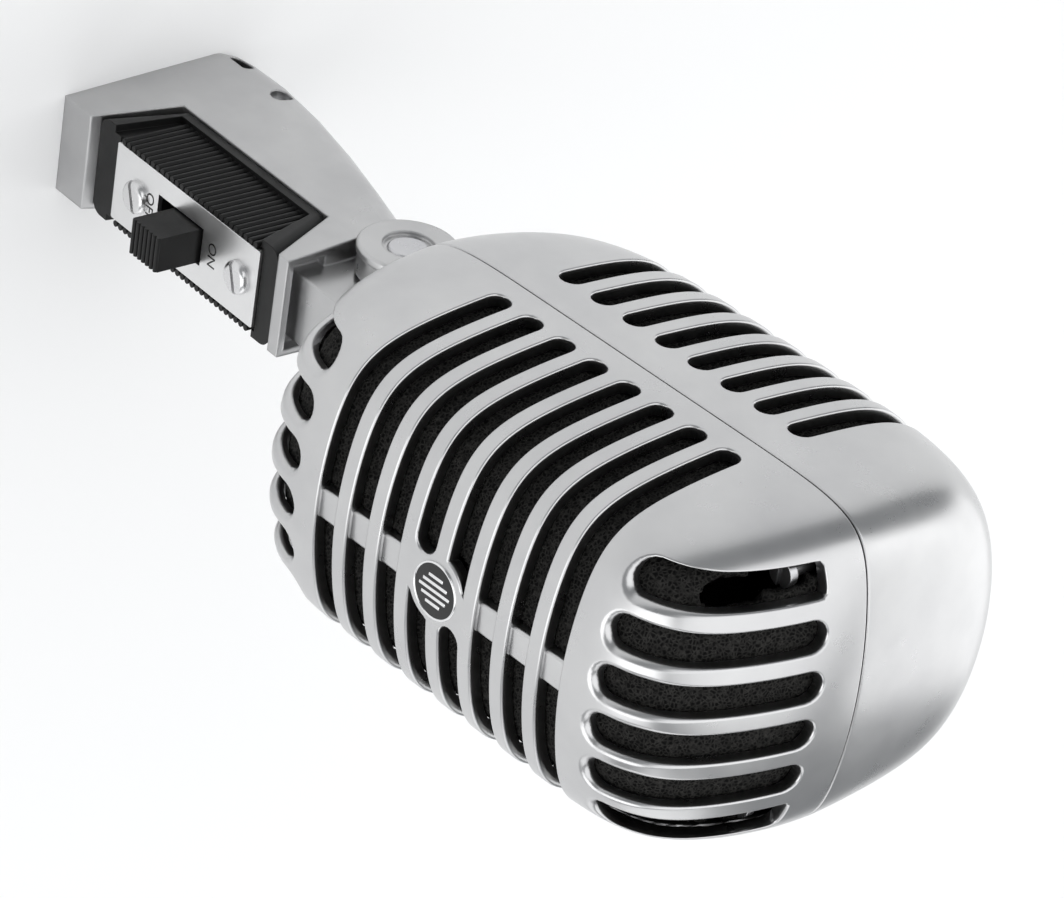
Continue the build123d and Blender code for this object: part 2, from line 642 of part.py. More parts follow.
with BuildPart() as base_housing:
    # rear body: straight sides and a round back at each height
    for z, rear in REAR_OF_BODY:
        round_from = rear - REAR_CORNER
        with BuildSketch(Plane.XY.offset(z)):
            with BuildLine():
                Line((-BODY_FRONT_HALF_WIDTH, BODY_FRONT), (BODY_FRONT_HALF_WIDTH, BODY_FRONT))
                Line((BODY_FRONT_HALF_WIDTH, BODY_FRONT), (BODY_HALF_WIDTH, round_from))
                EllipticalCenterArc((0, round_from), BODY_HALF_WIDTH, rear - round_from, 0, arc_size=180)
                Line((-BODY_HALF_WIDTH, round_from), (-BODY_FRONT_HALF_WIDTH, BODY_FRONT))
            make_face()
    loft(ruled=True)
    # foot round the stand thread, and flange over the switch
    foot = [(BODY_FRONT, MOUTH_Z), (FOOT_FRONT, MOUTH_Z), (FOOT_FRONT, BEZEL_LOW_FRONT_Z)]
    foot += [(BODY_FRONT, BEZEL_LOW_REAR_Z)]
    flange = [(BODY_FRONT, BEZEL_HIGH_REAR_Z), (-17.4, BEZEL_HIGH_FRONT_Z), (-17.4, -8.3)]
    flange += [(BODY_FRONT, BODY_TOP)]
    with BuildSketch(Plane.YZ):
        for outline in (foot, flange):
            with BuildLine():
                Polyline(*outline, close=True)
            make_face()
    extrude(amount=BODY_FRONT_HALF_WIDTH, both=True)
    with BuildSketch(Plane.XY.offset(MOUTH_Z)):
        for side in (1, -1):
            with BuildLine():
                Polyline(
                    (side * FOOT_HALF_WIDTH, FOOT_FRONT - 1),
                    (side * FOOT_HALF_WIDTH, FOOT_FRONT),
                    (side * BODY_FRONT_HALF_WIDTH, BODY_FRONT),
                    (side * WEDGE, BODY_FRONT),
                    (side * WEDGE, FOOT_FRONT - 1),
                    close=True,
                )
            make_face()
    extrude(amount=HINGE_Z, mode=Mode.SUBTRACT)
    # recess behind the flange's rim, then the tongue that rises out of it
    with Locations((0, -12.9, -8.0)):
        Box(15.8, 6.4, 4.8, mode=Mode.SUBTRACT)
    with BuildSketch(Plane.YZ):
        Circle(TONGUE_RADIUS)
        with Locations((-TONGUE_FRONT - REACH / 2, 0), (TONGUE_REAR + REACH / 2, 0)):
            Rectangle(REACH, REACH, mode=Mode.SUBTRACT)
        tongue_root = [(-TONGUE_FRONT, 0), (TONGUE_REAR, 0), (TONGUE_REAR, BODY_TOP)]
        tongue_root += [(0, -13), (-TONGUE_FRONT, -11.0)]
        with BuildLine():
            Polyline(*tongue_root, close=True)
        make_face()
    extrude(amount=TONGUE_HALF_WIDTH, both=True)
    with BuildSketch(Plane.YZ):
        Circle(PIN_RADIUS + PIN_RUNNING_GAP)
    extrude(amount=TONGUE_HALF_WIDTH + 1, both=True, mode=Mode.SUBTRACT)
    # stand thread (a plain bore at its major diameter) with a run-out above it
    with Locations((*THREAD_CENTRE, MOUTH_Z)):
        Cylinder(STAND_RADIUS, 2 * STAND_DEPTH, mode=Mode.SUBTRACT)
    # socket for the cable's plug, and the wiring chamber above it
    with Locations((*socket_centre, MOUTH_Z)):
        Cylinder(SOCKET_RADIUS, 2 * (SOCKET_DEPTH + INSERT_THICK + PIN_TAIL), mode=Mode.SUBTRACT)
    with Locations((0, (BODY_FRONT + 11.6) / 2, -44)):
        Box(13.6, 15.0, 20, mode=Mode.SUBTRACT)
    with Locations((0, (BODY_FRONT + 7.4) / 2, -24.2)):
        Box(13.6, 10.8, 20, mode=Mode.SUBTRACT)
    with Locations((0, LEAD_CHANNEL_Y, 0)):
        Cylinder(1.5, 36, mode=Mode.SUBTRACT)
    # latch slot and set screw hole in the side of the socket, tension screw in the tongue
    with BuildSketch(Plane.YZ.offset(-WEDGE)):
        with Locations(Location(LATCH_PLACE, 90)):
            SlotOverall(5.2, 2.4)
        with Locations(SET_SCREW_PLACE):
            Circle(SET_SCREW_RADIUS)
    extrude(amount=WEDGE - SET_SCREW_BORE_END, mode=Mode.SUBTRACT)
    with BuildSketch(Plane.XZ.offset(REACH)):
        Circle(TENSION_SCREW_RADIUS)
    extrude(amount=-REACH, mode=Mode.SUBTRACT)
save(base_housing, "base_housing", hinge)

with BuildPart() as connector_insert:
    with Locations((*socket_centre, SOCKET_CEILING)):
        Cylinder(SOCKET_RADIUS, INSERT_THICK, align=upright)
        with PolarLocations(CONTACT_CIRCLE, 3, start_angle=90):
            Cylinder(CONTACT_RADIUS, 3 * INSERT_THICK, mode=Mode.SUBTRACT)
    with BuildSketch(Plane.YZ.offset(-WEDGE)):
        with Locations(SET_SCREW_PLACE):
            Circle(SET_SCREW_RADIUS)
    extrude(amount=WEDGE - SET_SCREW_BORE_END, mode=Mode.SUBTRACT)
save(connector_insert, "connector_insert", hinge)

PIN_TIP = MOUTH_Z + CONTACT_TIP_DEPTH
with BuildPart() as connector_pins:
    with Locations((*socket_centre, PIN_TIP)):
        with PolarLocations(CONTACT_CIRCLE, 3, start_angle=90):
            Cylinder(CONTACT_RADIUS, SOCKET_CEILING + INSERT_THICK - PIN_TIP, align=upright)
    fillet(edges().group_by(Axis.Z)[0], 0.9)
    with Locations((*socket_centre, SOCKET_CEILING + INSERT_THICK)):
        with PolarLocations(CONTACT_CIRCLE, 3, start_angle=90):
            Cylinder(0.8, PIN_TAIL, align=upright)
save(connector_pins, "connector_pins", hinge)

with BuildPart() as connector_set_screw:
    with BuildSketch(Plane.YZ.offset(-SET_SCREW_INNER_X)):
        with Locations(SET_SCREW_PLACE):
            Circle(SET_SCREW_RADIUS)
    extrude(amount=-SET_SCREW_LENGTH)
    with BuildSketch(Plane.YZ.offset(-SET_SCREW_INNER_X - SET_SCREW_LENGTH)):
        with Locations(SET_SCREW_PLACE):
            Rectangle(5, SLOT_CUT_WIDTH)
    extrude(amount=SLOT_CUT_DEPTH, mode=Mode.SUBTRACT)
save(connector_set_screw, "connector_set_screw", hinge)

with BuildPart() as tension_screw:
    with BuildSketch(Plane.XZ.offset(8.6)):
        Circle(TENSION_SCREW_RADIUS)
    extrude(amount=5.0)
    with BuildSketch(Plane.XZ.offset(13.6)):
        Rectangle(4, SLOT_CUT_WIDTH)
    extrude(amount=-SLOT_CUT_DEPTH, mode=Mode.SUBTRACT)
save(tension_screw, "tension_screw", hinge)

with BuildPart() as tension_pad:
    with BuildSketch(Plane.XZ.offset(3.8)):
        Circle(1.4)
    extrude(amount=4.7)
save(tension_pad, "tension_pad", hinge)

# ---------------------------------------------------------------- switch
PLATE_FRONT = BLOCK_FRONT - PLATE_THICK
SWITCH_WELL = (-46.0, -27.6)
WELL_HALF_WIDTH = 4.6
SWITCH_FLOOR_Y = -13.2
SWITCH_REAR_Y = -6.0

with BuildPart() as switch_bezel:
    with BuildSketch(Plane.YZ):
        with BuildLine():
            Polyline(
                (BEZEL_FRONT, BEZEL_LOW_FRONT_Z + 0.65),
                (BEZEL_REAR, BEZEL_LOW_REAR_Z + 0.1),
                (BEZEL_REAR, BEZEL_HIGH_REAR_Z - 0.1),
                (BEZEL_FRONT, BEZEL_HIGH_FRONT_Z - 0.15),
                close=True,
            )
        make_face()
    extrude(amount=BEZEL_HALF_WIDTH, both=True)
    corner_edges = edges().filter_by(lambda e: abs(abs(e.center().X) - BEZEL_HALF_WIDTH) < 0.01)
    fillet(corner_edges.filter_by(lambda e: e.length > 13 and e.length < 16), 2.2)
    # side pockets round the ribbed block
    pocket = [(BEZEL_FRONT - 1, -57.6), (BLOCK_REAR, -55.6)]
    pocket += [(BLOCK_REAR, -19.4), (BEZEL_FRONT - 1, -15.5)]
    for side in ears:
        with BuildSketch(Plane.YZ.offset(side * WEDGE)):
            with BuildLine():
                Polyline(*pocket, close=True)
            make_face()
        extrude(amount=-side * (WEDGE - BLOCK_HALF_WIDTH), mode=Mode.SUBTRACT)
    # seat for the nameplate, then the ridges down both sides of the block
    with Locations((0, BLOCK_FRONT - 1, (PLATE_LOW_Z + PLATE_HIGH_Z) / 2)):
        Box(2 * BLOCK_HALF_WIDTH, 2, PLATE_HIGH_Z - PLATE_LOW_Z + 0.4, mode=Mode.SUBTRACT)
    ridge_pitch = (PLATE_HIGH_Z - PLATE_LOW_Z - 2 * RIDGE_MARGIN) / RIDGE_COUNT
    with BuildSketch(Plane.XZ.offset(-PLATE_FRONT)):
        for i in range(RIDGE_COUNT):
            z = PLATE_LOW_Z + RIDGE_MARGIN + (i + 0.5) * ridge_pitch
            with Locations((BLOCK_HALF_WIDTH, z), (-BLOCK_HALF_WIDTH, z)):
                Circle(RIDGE_RADIUS)
    extrude(amount=-(BLOCK_REAR - PLATE_FRONT))
    # well for the switch, and pilot holes for the plate's screws
    with Locations((0, -10, sum(SWITCH_WELL) / 2)):
        Box(2 * WELL_HALF_WIDTH, 20, SWITCH_WELL[1] - SWITCH_WELL[0], mode=Mode.SUBTRACT)
    with BuildSketch(Plane.XZ.offset(8)):
        for z in PLATE_SCREW_Z:
            with Locations((0, z)):
                Circle(PLATE_SCREW_RADIUS)
    extrude(amount=20, mode=Mode.SUBTRACT)
save(switch_bezel, "switch_bezel", hinge)

with BuildPart() as nameplate:
    with BuildSketch(Plane.XZ.offset(-BLOCK_FRONT)):
        with Locations((0, (PLATE_LOW_Z + PLATE_HIGH_Z) / 2)):
            RectangleRounded(2 * PLATE_HALF_WIDTH, PLATE_HIGH_Z - PLATE_LOW_Z, 0.4)
        with Locations((0, (WINDOW_LOW_Z + WINDOW_HIGH_Z) / 2)):
            Rectangle(2 * WINDOW_HALF_WIDTH, WINDOW_HIGH_Z - WINDOW_LOW_Z, mode=Mode.SUBTRACT)
        for z in PLATE_SCREW_Z:
            with Locations((0, z)):
                Circle(PLATE_SCREW_RADIUS, mode=Mode.SUBTRACT)
    extrude(amount=PLATE_THICK)
save(nameplate, "nameplate", hinge)

SCREW_HEAD_RADIUS = 2.9
SCREW_HEAD_HEIGHT = 1.3
with BuildPart() as nameplate_screws:
    with BuildSketch(Plane.XZ.offset(9)):
        for z in PLATE_SCREW_Z:
            with Locations((0, z)):
                Circle(PLATE_SCREW_RADIUS)
    extrude(amount=-PLATE_FRONT - 9)
    with BuildSketch(Plane.XZ.offset(-PLATE_FRONT)):
        for z in PLATE_SCREW_Z:
            with Locations((0, z)):
                Circle(SCREW_HEAD_RADIUS)
    extrude(amount=SCREW_HEAD_HEIGHT)
    fillet(edges().group_by(Axis.Y)[0], 0.9)
    with BuildSketch(Plane.XZ.offset(-PLATE_FRONT + SCREW_HEAD_HEIGHT)):
        for z in PLATE_SCREW_Z:
            with Locations(Location((0, z), 20)):
                Rectangle(8, 0.75)
    extrude(amount=-0.8, mode=Mode.SUBTRACT)
save(nameplate_screws, "nameplate_screws", hinge)

with BuildPart() as switch_body:
    body_front = BLOCK_FRONT + 0.1
    body_height = SWITCH_WELL[1] - SWITCH_WELL[0] - 0.2
    with Locations((0, (body_front + SWITCH_REAR_Y) / 2, sum(SWITCH_WELL) / 2)):
        Box(2 * WELL_HALF_WIDTH - 0.2, SWITCH_REAR_Y - body_front, body_height)
    well_low = WINDOW_LOW_Z - 0.3
    well_high = WINDOW_HIGH_Z + 0.3
    with Locations((0, SWITCH_FLOOR_Y - 10, (well_low + well_high) / 2)):
        Box(2 * WINDOW_HALF_WIDTH + 0.4, 20, well_high - well_low, mode=Mode.SUBTRACT)
save(switch_body, "switch_body", hinge)

with BuildPart() as switch_terminals:
    for z in (-41.0, -36.8, -32.6):
        with Locations((-2, -5.0, z), (2, -5.0, z)):
            Box(0.6, 2.0, 1.4)
save(switch_terminals, "switch_terminals", hinge)

KNOB_CENTRE_Z = (KNOB_LOW_Z + KNOB_HIGH_Z) / 2
with BuildPart() as switch_knob:
    with Locations((0, (PLATE_FRONT - KNOB_REACH + KNOB_INNER_Y) / 2, KNOB_CENTRE_Z)):
        Box(2 * KNOB_HALF_WIDTH, KNOB_INNER_Y - PLATE_FRONT + KNOB_REACH, KNOB_HIGH_Z - KNOB_LOW_Z)
    # grip ridges across the knob's face
    grip_pitch = (KNOB_HIGH_Z - KNOB_LOW_Z) / GRIP_COUNT
    for i in range(GRIP_COUNT):
        with Locations((0, PLATE_FRONT - KNOB_REACH, KNOB_LOW_Z + (i + 0.5) * grip_pitch)):
            Cylinder(GRIP_RADIUS, 2 * KNOB_HALF_WIDTH, rotation=(0, 90, 0))
save(switch_knob, "switch_knob", hinge)

with BuildPart() as switch_contact:
    with Locations((0, KNOB_INNER_Y + 0.2, KNOB_CENTRE_Z)):
        Box(4.0, 0.4, 6.0)
save(switch_contact, "switch_contact", hinge)

# ---------------------------------------------------------------- leads inside the base
with BuildPart() as base_leads:
    for side in (1, -1):
        with BuildLine() as route:
            Spline(
                (side * 3.2, 6.7, SOCKET_CEILING + INSERT_THICK + 3.4),
                (side * 4.6, 3.4, -44.0),
                (side * 4.4, -1.0, -40.0),
                (side * 2.0, -3.3, -36.8),
            )
        with BuildSketch(Plane(origin=route.line @ 0, z_dir=route.line % 0)):
            Circle(0.6)
        sweep(path=route.line)
    with BuildLine() as route:
        Spline(
            (0.2, -3.3, -32.6),
            (1.0, 0.4, -28.0),
            (0.6, 4.4, -22.0),
            (0, LEAD_CHANNEL_Y, -15.0),
            (0, LEAD_CHANNEL_Y, 0),
            (0, LEAD_CHANNEL_Y, 13.8),
        )
    with BuildSketch(Plane(origin=route.line @ 0, z_dir=route.line % 0)):
        Circle(0.9)
    sweep(path=route.line)
save(base_leads, "base_leads", hinge)
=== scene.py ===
"""Looks of a vintage-style vocal microphone: slotted die-cast head, foam liner and swivel base.

Shapes are worked out in millimetres about the head's own centre or about the hinge, then
moved to the row frame in metres. The slots, seams and rounded edges are all geometry.
"""

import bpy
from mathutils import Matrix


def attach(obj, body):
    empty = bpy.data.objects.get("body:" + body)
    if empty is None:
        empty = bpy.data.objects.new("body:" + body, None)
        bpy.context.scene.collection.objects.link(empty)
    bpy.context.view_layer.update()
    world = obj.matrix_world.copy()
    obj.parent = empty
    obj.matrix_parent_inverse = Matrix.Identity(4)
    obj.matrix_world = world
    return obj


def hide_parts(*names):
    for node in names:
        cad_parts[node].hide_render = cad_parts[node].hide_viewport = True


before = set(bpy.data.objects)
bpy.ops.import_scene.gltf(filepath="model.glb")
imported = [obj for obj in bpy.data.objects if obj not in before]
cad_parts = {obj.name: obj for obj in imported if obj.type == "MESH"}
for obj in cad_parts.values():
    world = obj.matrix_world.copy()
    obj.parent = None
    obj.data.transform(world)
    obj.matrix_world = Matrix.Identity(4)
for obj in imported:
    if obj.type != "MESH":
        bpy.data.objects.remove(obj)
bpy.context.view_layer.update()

import math

import bpy
import numpy as np
from mathutils import Matrix, Vector
from mathutils.geometry import delaunay_2d_cdt

MM = 0.001

# ---------------------------------------------------------------- sizes, millimetres
HALF_WIDTH = 28.5
HALF_HEIGHT = 53.6
FRONT_DEPTH = 37.8
REAR_DEPTH = 38.5
FRONT_SIDE_CROWN = 168.0
REAR_SIDE_CROWN = 400.0
FACE_CROWN = 60.0
FRONT_TOP_CROWN = 68.0
TOP_CROWN_ACROSS = 78.0
FRONT_BLEND = 10.0
REAR_TOP_CROWN = 80.0
REAR_BLEND = 5.0
REAR_SWEEP = 0.004
WALL = 2.2
FOAM_GAP = 0.2
SEAM_Y = -1.2
SEAM_HALF_GAP = 0.125

HINGE = np.array([0.0, 9.6, 69.8])
HEAD_FROM_HINGE = np.array([0.0, -12.2, 66.6])
LEAN_BACK = math.radians(3.8)
HINGE_Y = 12.2  # the hinge as the head sees it

SLOT_COUNT = 8
SLOT_PITCH = 7.31
SLOT_HALF = 2.15
FRONT_SLOT_CENTRE_Y = -7.65
REAR_SLOT_CENTRE_Y = 7.95
REAR_SPINE_HALF = 6.0
BOSS_RADIUS = 6.1
BADGE_SLOT_END = 4.7
REAR_SLOT_TILT = math.radians(4.5)
DOME_SLOT_COUNT = 6
DOME_SLOT_PITCH = 8.27
DOME_SLOT_HALF = 2.65
DOME_SLOT_CENTRE_Y = -11.35
DOME_SLOT_CENTRE_Z = 36.35
EDGE_ROUND = 0.42
DOME_END_ROUND = 1.15
SEAM_ROUND = 0.35
WINDOW_HALF_SIZE = (12.5, 9.8)  # opening under the head, across and along
WINDOW_ROUND = 0.5

slot_heights = [(i - (SLOT_COUNT - 1) / 2) * SLOT_PITCH for i in range(SLOT_COUNT)]
dome_slot_places = [(i - (DOME_SLOT_COUNT - 1) / 2) * DOME_SLOT_PITCH for i in range(DOME_SLOT_COUNT)]


# ---------------------------------------------------------------- frames and meshes
def lean(points):
    """Turns points about the X axis by the head's backward lean."""
    c, s = math.cos(LEAN_BACK), math.sin(LEAN_BACK)
    x, y, z = np.moveaxis(np.asarray(points, float), -1, 0)
    return np.stack([x, y * c + z * s, z * c - y * s], -1)


def head_to_row(points):
    """Head millimetres to row-frame metres."""
    return (HINGE + lean(points + HEAD_FROM_HINGE)) * MM


def unit(v):
    """Vectors brought to length one."""
    return v / np.maximum(np.linalg.norm(v, axis=-1, keepdims=True), 1e-12)


def new_piece(name, points, faces, material, normals=None, smooth=True):
    """A mesh object from row-frame points and faces (each an index array, any mix of sizes)."""
    mesh = bpy.data.meshes.new(name)
    mesh.from_pydata(np.asarray(points).tolist(), [], [list(f) for block in faces for f in block.tolist()])
    mesh.update()
    mesh.polygons.foreach_set("use_smooth", np.full(len(mesh.polygons), smooth))
    if normals is not None:
        mesh.normals_split_custom_set_from_vertices(np.asarray(normals).tolist())
    mesh.materials.append(material)
    piece = bpy.data.objects.new(name, mesh)
    bpy.context.scene.collection.objects.link(piece)
    return piece


def grid_faces(rows, columns, wrap_rows=False, wrap_columns=False, start=0):
    """Quads of a rows-by-columns grid of points numbered row by row."""
    i = np.arange(rows if wrap_rows else rows - 1)[:, None]
    j = np.arange(columns if wrap_columns else columns - 1)[None, :]
    i2, j2 = (i + 1) % rows, (j + 1) % columns
    quads = np.stack([i * columns + j, i * columns + j2, i2 * columns + j2, i2 * columns + j], -1)
    return quads.reshape(-1, 4) + start


def facing(points, faces, normals):
    """The faces, turned over if they look away from their points' normals on the whole."""
    a, b, c = (points[faces[:, k]] for k in range(3))
    agreement = (np.cross(b - a, c - a) * normals[faces[:, 0]]).sum(-1)
    return faces if agreement.sum() > 0 else faces[:, ::-1]


# ---------------------------------------------------------------- the head's surface
def head_level(points, inset=0.0):
    """Sum of three powered distances, across, along and up; 1 on the skin drawn in by inset.

    Each wall is a parabola-crowned face. The power that joins them falls from FRONT_BLEND at
    the middle to REAR_BLEND at the very back, where the mid-line has also risen by
    REAR_SWEEP times the depth squared.
    """
    x, y, z = np.moveaxis(points, -1, 0)
    behind = y > 0
    back = np.where(behind, y, 0.0)
    depth = np.where(behind, REAR_DEPTH, FRONT_DEPTH) - inset
    side = np.where(behind, REAR_SIDE_CROWN, FRONT_SIDE_CROWN)
    top = np.where(behind, REAR_TOP_CROWN, FRONT_TOP_CROWN)
    blend = FRONT_BLEND + (REAR_BLEND - FRONT_BLEND) * back / REAR_DEPTH
    rise = REAR_SWEEP * back**2
    across = (np.abs(x) + y * y / (2 * side)) / (HALF_WIDTH - inset)
    along = (np.abs(y) + x * x / (2 * FACE_CROWN)) / depth
    crowned = np.abs(z - rise) + y * y / (2 * top) + x * x / (2 * TOP_CROWN_ACROSS)
    up = crowned / (HALF_HEIGHT - inset)
    return across**blend + along**blend + up**blend


def skin(origins, directions, inset=0.0):
    """Where rays from inside the head meet its skin, by halving the interval."""
    origins, directions = np.broadcast_arrays(origins, unit(directions))
    near = np.zeros(origins.shape[:-1])
    far = np.full(origins.shape[:-1], 80.0)
    for _ in range(34):
        middle = (near + far) / 2
        outside = head_level(origins + directions * middle[..., None], inset) > 1
        far = np.where(outside, middle, far)
        near = np.where(outside, near, middle)
    return origins + directions * near[..., None]


def skin_normal(points, inset=0.0):
    """Outward normals: the level's gradient by central differences."""
    step = 0.02
    slopes = [
        head_level(points + step * axis, inset) - head_level(points - step * axis, inset)
        for axis in np.eye(3)
    ]
    return unit(np.stack(slopes, -1))


# ---------------------------------------------------------------- slot outlines
# An outline is (points on the skin, unit vectors pointing from the slot into the metal).
def columns(*parts):
    """Stacks scalars and arrays as x, y, z columns."""
    return np.stack(np.broadcast_arrays(*[np.asarray(p, float) for p in parts]), -1)


def half_round(power=2.0, count=9):
    """Half of a super-ellipse from (1, 0) over (0, 1) to (-1, 0), evenly spaced, and its normals."""
    t = np.linspace(0, math.pi, 721)
    c, s = np.cos(t), np.sin(t)
    shape = np.stack([np.sign(c) * np.abs(c) ** (2 / power), np.abs(s) ** (2 / power)], -1)
    normal = unit(np.stack([np.sign(c) * np.abs(c) ** (2 - 2 / power), np.abs(s) ** (2 - 2 / power)], -1))
    length = np.concatenate([[0], np.cumsum(np.linalg.norm(np.diff(shape, axis=0), axis=-1))])
    even = np.linspace(0, length[-1], count + 2)[1:-1]
    pick = [np.interp(even, length, column) for column in (*shape.T, *normal.T)]
    return np.stack(pick[:2], -1), unit(np.stack(pick[2:], -1))


def joined(*stretches):
    """One closed outline from stretches of (points, into-metal vectors)."""
    return tuple(np.concatenate([np.asarray(s[k], float) for s in stretches]) for k in (0, 1))


def front_slot(z):
    """Round the face at one height, with a half-round end on each side."""
    a = np.linspace(0, math.pi, 170)
    shape, normal = half_round()
    stretches = []
    for edge, sweep in ((1, a), (-1, a[::-1])):
        origins = columns(0 * sweep, FRONT_SLOT_CENTRE_Y, z + edge * SLOT_HALF)
        points = skin(origins, columns(np.cos(sweep), -np.sin(sweep), 0))
        stretches.append((points, columns(0 * sweep, 0, edge)))
        u, w = edge * shape[:, 0], shape[:, 1]
        origins = columns(0, FRONT_SLOT_CENTRE_Y + SLOT_HALF * w, z + SLOT_HALF * u)
        into = columns(0, normal[:, 1], edge * normal[:, 0])
        stretches.append((skin(origins, columns(-edge + 0 * u, 0, 0)), into))
    return joined(*stretches)


def badge_slot(z_sign, side, tapered):
    """One half of a slot beside the badge: its inner end is round, or tapers round the boss."""
    z = z_sign * SLOT_PITCH / 2
    shape, normal = half_round()
    stretches = []
    for edge in (1, -1):
        at = z + edge * z_sign * SLOT_HALF
        x_end = math.sqrt(BOSS_RADIUS**2 - at**2) if tapered else BADGE_SLOT_END + SLOT_HALF

        def along_edge(a):
            return skin(columns(0 * a, FRONT_SLOT_CENTRE_Y, at), columns(side * np.cos(a), -np.sin(a), 0))

        a = np.linspace(0, math.pi / 2, 400)
        last = np.interp(-x_end, -np.abs(along_edge(a)[:, 0]), a)
        a = np.linspace(0, last, 84)[::edge]
        points = along_edge(a)
        stretches.append((points, columns(0 * a, 0, edge * z_sign)))
        u, w = edge * z_sign * shape[:, 0], shape[:, 1]
        nu, nw = edge * z_sign * normal[:, 0], normal[:, 1]
        if edge < 0:
            origins = columns(0, FRONT_SLOT_CENTRE_Y + SLOT_HALF * w, z + SLOT_HALF * u)
            stretches.append((skin(origins, columns(side + 0 * u, 0, 0)), columns(0, nw, nu)))
        elif tapered:
            heights = np.linspace(abs(z) + SLOT_HALF, abs(z) - SLOT_HALF, 12)[1:-1]
            x = side * np.sqrt(BOSS_RADIUS**2 - heights**2)
            origins = columns(x, -10, z_sign * heights)
            into = columns(-x, 0, -z_sign * heights) / BOSS_RADIUS
            stretches.append((skin(origins, columns(0 * x, -1, 0)), into))
        else:
            x = side * (BADGE_SLOT_END + SLOT_HALF - SLOT_HALF * w)
            origins = columns(x, -10, z + SLOT_HALF * u)
            stretches.append((skin(origins, columns(0 * u, -1, 0)), columns(-side * nw, 0, nu)))
    return joined(*stretches)


def rear_slot(z, side):
    """Along one side and round to the spine, climbing a little towards the back."""
    c, s = math.cos(REAR_SLOT_TILT), math.sin(REAR_SLOT_TILT)
    shape, normal = half_round()
    spine_centre = REAR_SPINE_HALF + SLOT_HALF

    def placed(x, u, w):
        return columns(x, REAR_SLOT_CENTRE_Y + u * c - w * s, z + u * s + w * c)

    stretches = []
    for edge in (1, -1):

        def along_edge(a):
            directions = columns(side * np.cos(a), np.sin(a) * c, np.sin(a) * s)
            return skin(placed(0 * a, 0, edge * SLOT_HALF), directions)

        a = np.linspace(0, math.pi / 2, 200)
        last = np.interp(-spine_centre, -np.abs(along_edge(a)[:, 0]), a)
        a = np.linspace(0, last, 84)[::edge]
        points = along_edge(a)
        stretches.append((points, columns(0 * a, -edge * s, edge * c)))
        u, w = shape[:, 1], edge * shape[:, 0]
        if edge > 0:
            origins = placed(side * (spine_centre - SLOT_HALF * u), 0, SLOT_HALF * w)
            into = columns(-side * normal[:, 1], -s * normal[:, 0], c * normal[:, 0])
            stretches.append((skin(origins, columns(0 * u, c, s)), into))
        else:
            origins = placed(0 * u, -SLOT_HALF * u, SLOT_HALF * w)
            nu, nw = -normal[:, 1], -normal[:, 0]
            into = columns(0, nu * c - nw * s, nu * s + nw * c)
            stretches.append((skin(origins, columns(side + 0 * u, 0, 0)), into))
    return joined(*stretches)


def dome_slot(x, end):
    """From the face over the dome (end 1) or under the chin (end -1); the outer pair end square."""
    a = np.linspace(0, math.pi / 2, 56)
    rear_power = 6.0 if abs(x) > 2 * DOME_SLOT_PITCH else 2.0
    stretches = []
    for edge, sweep in ((1, a), (-1, a[::-1])):
        edge_x = x + edge * DOME_SLOT_HALF + 0 * sweep
        origins = columns(edge_x, DOME_SLOT_CENTRE_Y, end * DOME_SLOT_CENTRE_Z)
        points = skin(origins, columns(0, -np.cos(sweep), end * np.sin(sweep)))
        stretches.append((points, columns(edge + 0 * sweep, 0, 0)))
        shape, normal = half_round(rear_power if edge > 0 else 2.0)
        u, w = edge * shape[:, 0], shape[:, 1]
        nu, nw = edge * normal[:, 0], normal[:, 1]
        if edge > 0:
            y = DOME_SLOT_CENTRE_Y + DOME_SLOT_HALF * w
            origins = columns(x + DOME_SLOT_HALF * u, y, end * DOME_SLOT_CENTRE_Z)
            stretches.append((skin(origins, columns(0 * u, 0, end)), columns(nu, nw, 0)))
        else:
            z = end * (DOME_SLOT_CENTRE_Z - DOME_SLOT_HALF * w)
            origins = columns(x + DOME_SLOT_HALF * u, DOME_SLOT_CENTRE_Y, z)
            stretches.append((skin(origins, columns(0 * u, -1, 0)), columns(nu, 0, -end * nw)))
    return joined(*stretches)


def seam_edge(front):
    """Where the skin meets the seam's plane."""
    a = np.linspace(0, 2 * math.pi, 420, endpoint=False)
    y = SEAM_Y - SEAM_HALF_GAP if front else SEAM_Y + SEAM_HALF_GAP
    points = skin(columns(0 * a, y, 0), columns(np.cos(a), 0, np.sin(a)))
    return points, columns(0 * a, -1 if front else 1, 0)


def swivel_window():
    """The opening under the rear shell that the base's tongue comes through."""
    shape, normal = half_round(8.0, 60)
    shape = np.concatenate([shape, -shape])
    normal = np.concatenate([normal, -normal])
    across, along = WINDOW_HALF_SIZE
    origins = columns(across * shape[:, 0], HINGE_Y + along * shape[:, 1], -20)
    return skin(origins, columns(0 * shape[:, 0], 0, -1)), columns(normal[:, 0], normal[:, 1], 0)


# ---------------------------------------------------------------- shells
def chart(points, facing_y):
    """Flat coordinates: the angle from the shell's own pole, laid out round the Y axis."""
    d = unit(points)
    angle = np.arccos(np.clip(facing_y * d[..., 1], -1, 1))
    turn = np.arctan2(d[..., 2], d[..., 0])
    return np.stack([angle * np.cos(turn), angle * np.sin(turn)], -1)


def from_chart(flat, facing_y):
    """Directions from the head's centre for flat coordinates."""
    angle = np.linalg.norm(flat, axis=-1)
    share = np.sin(angle) / np.maximum(angle, 1e-9)
    return np.stack([flat[:, 0] * share, facing_y * np.cos(angle), flat[:, 1] * share], -1)


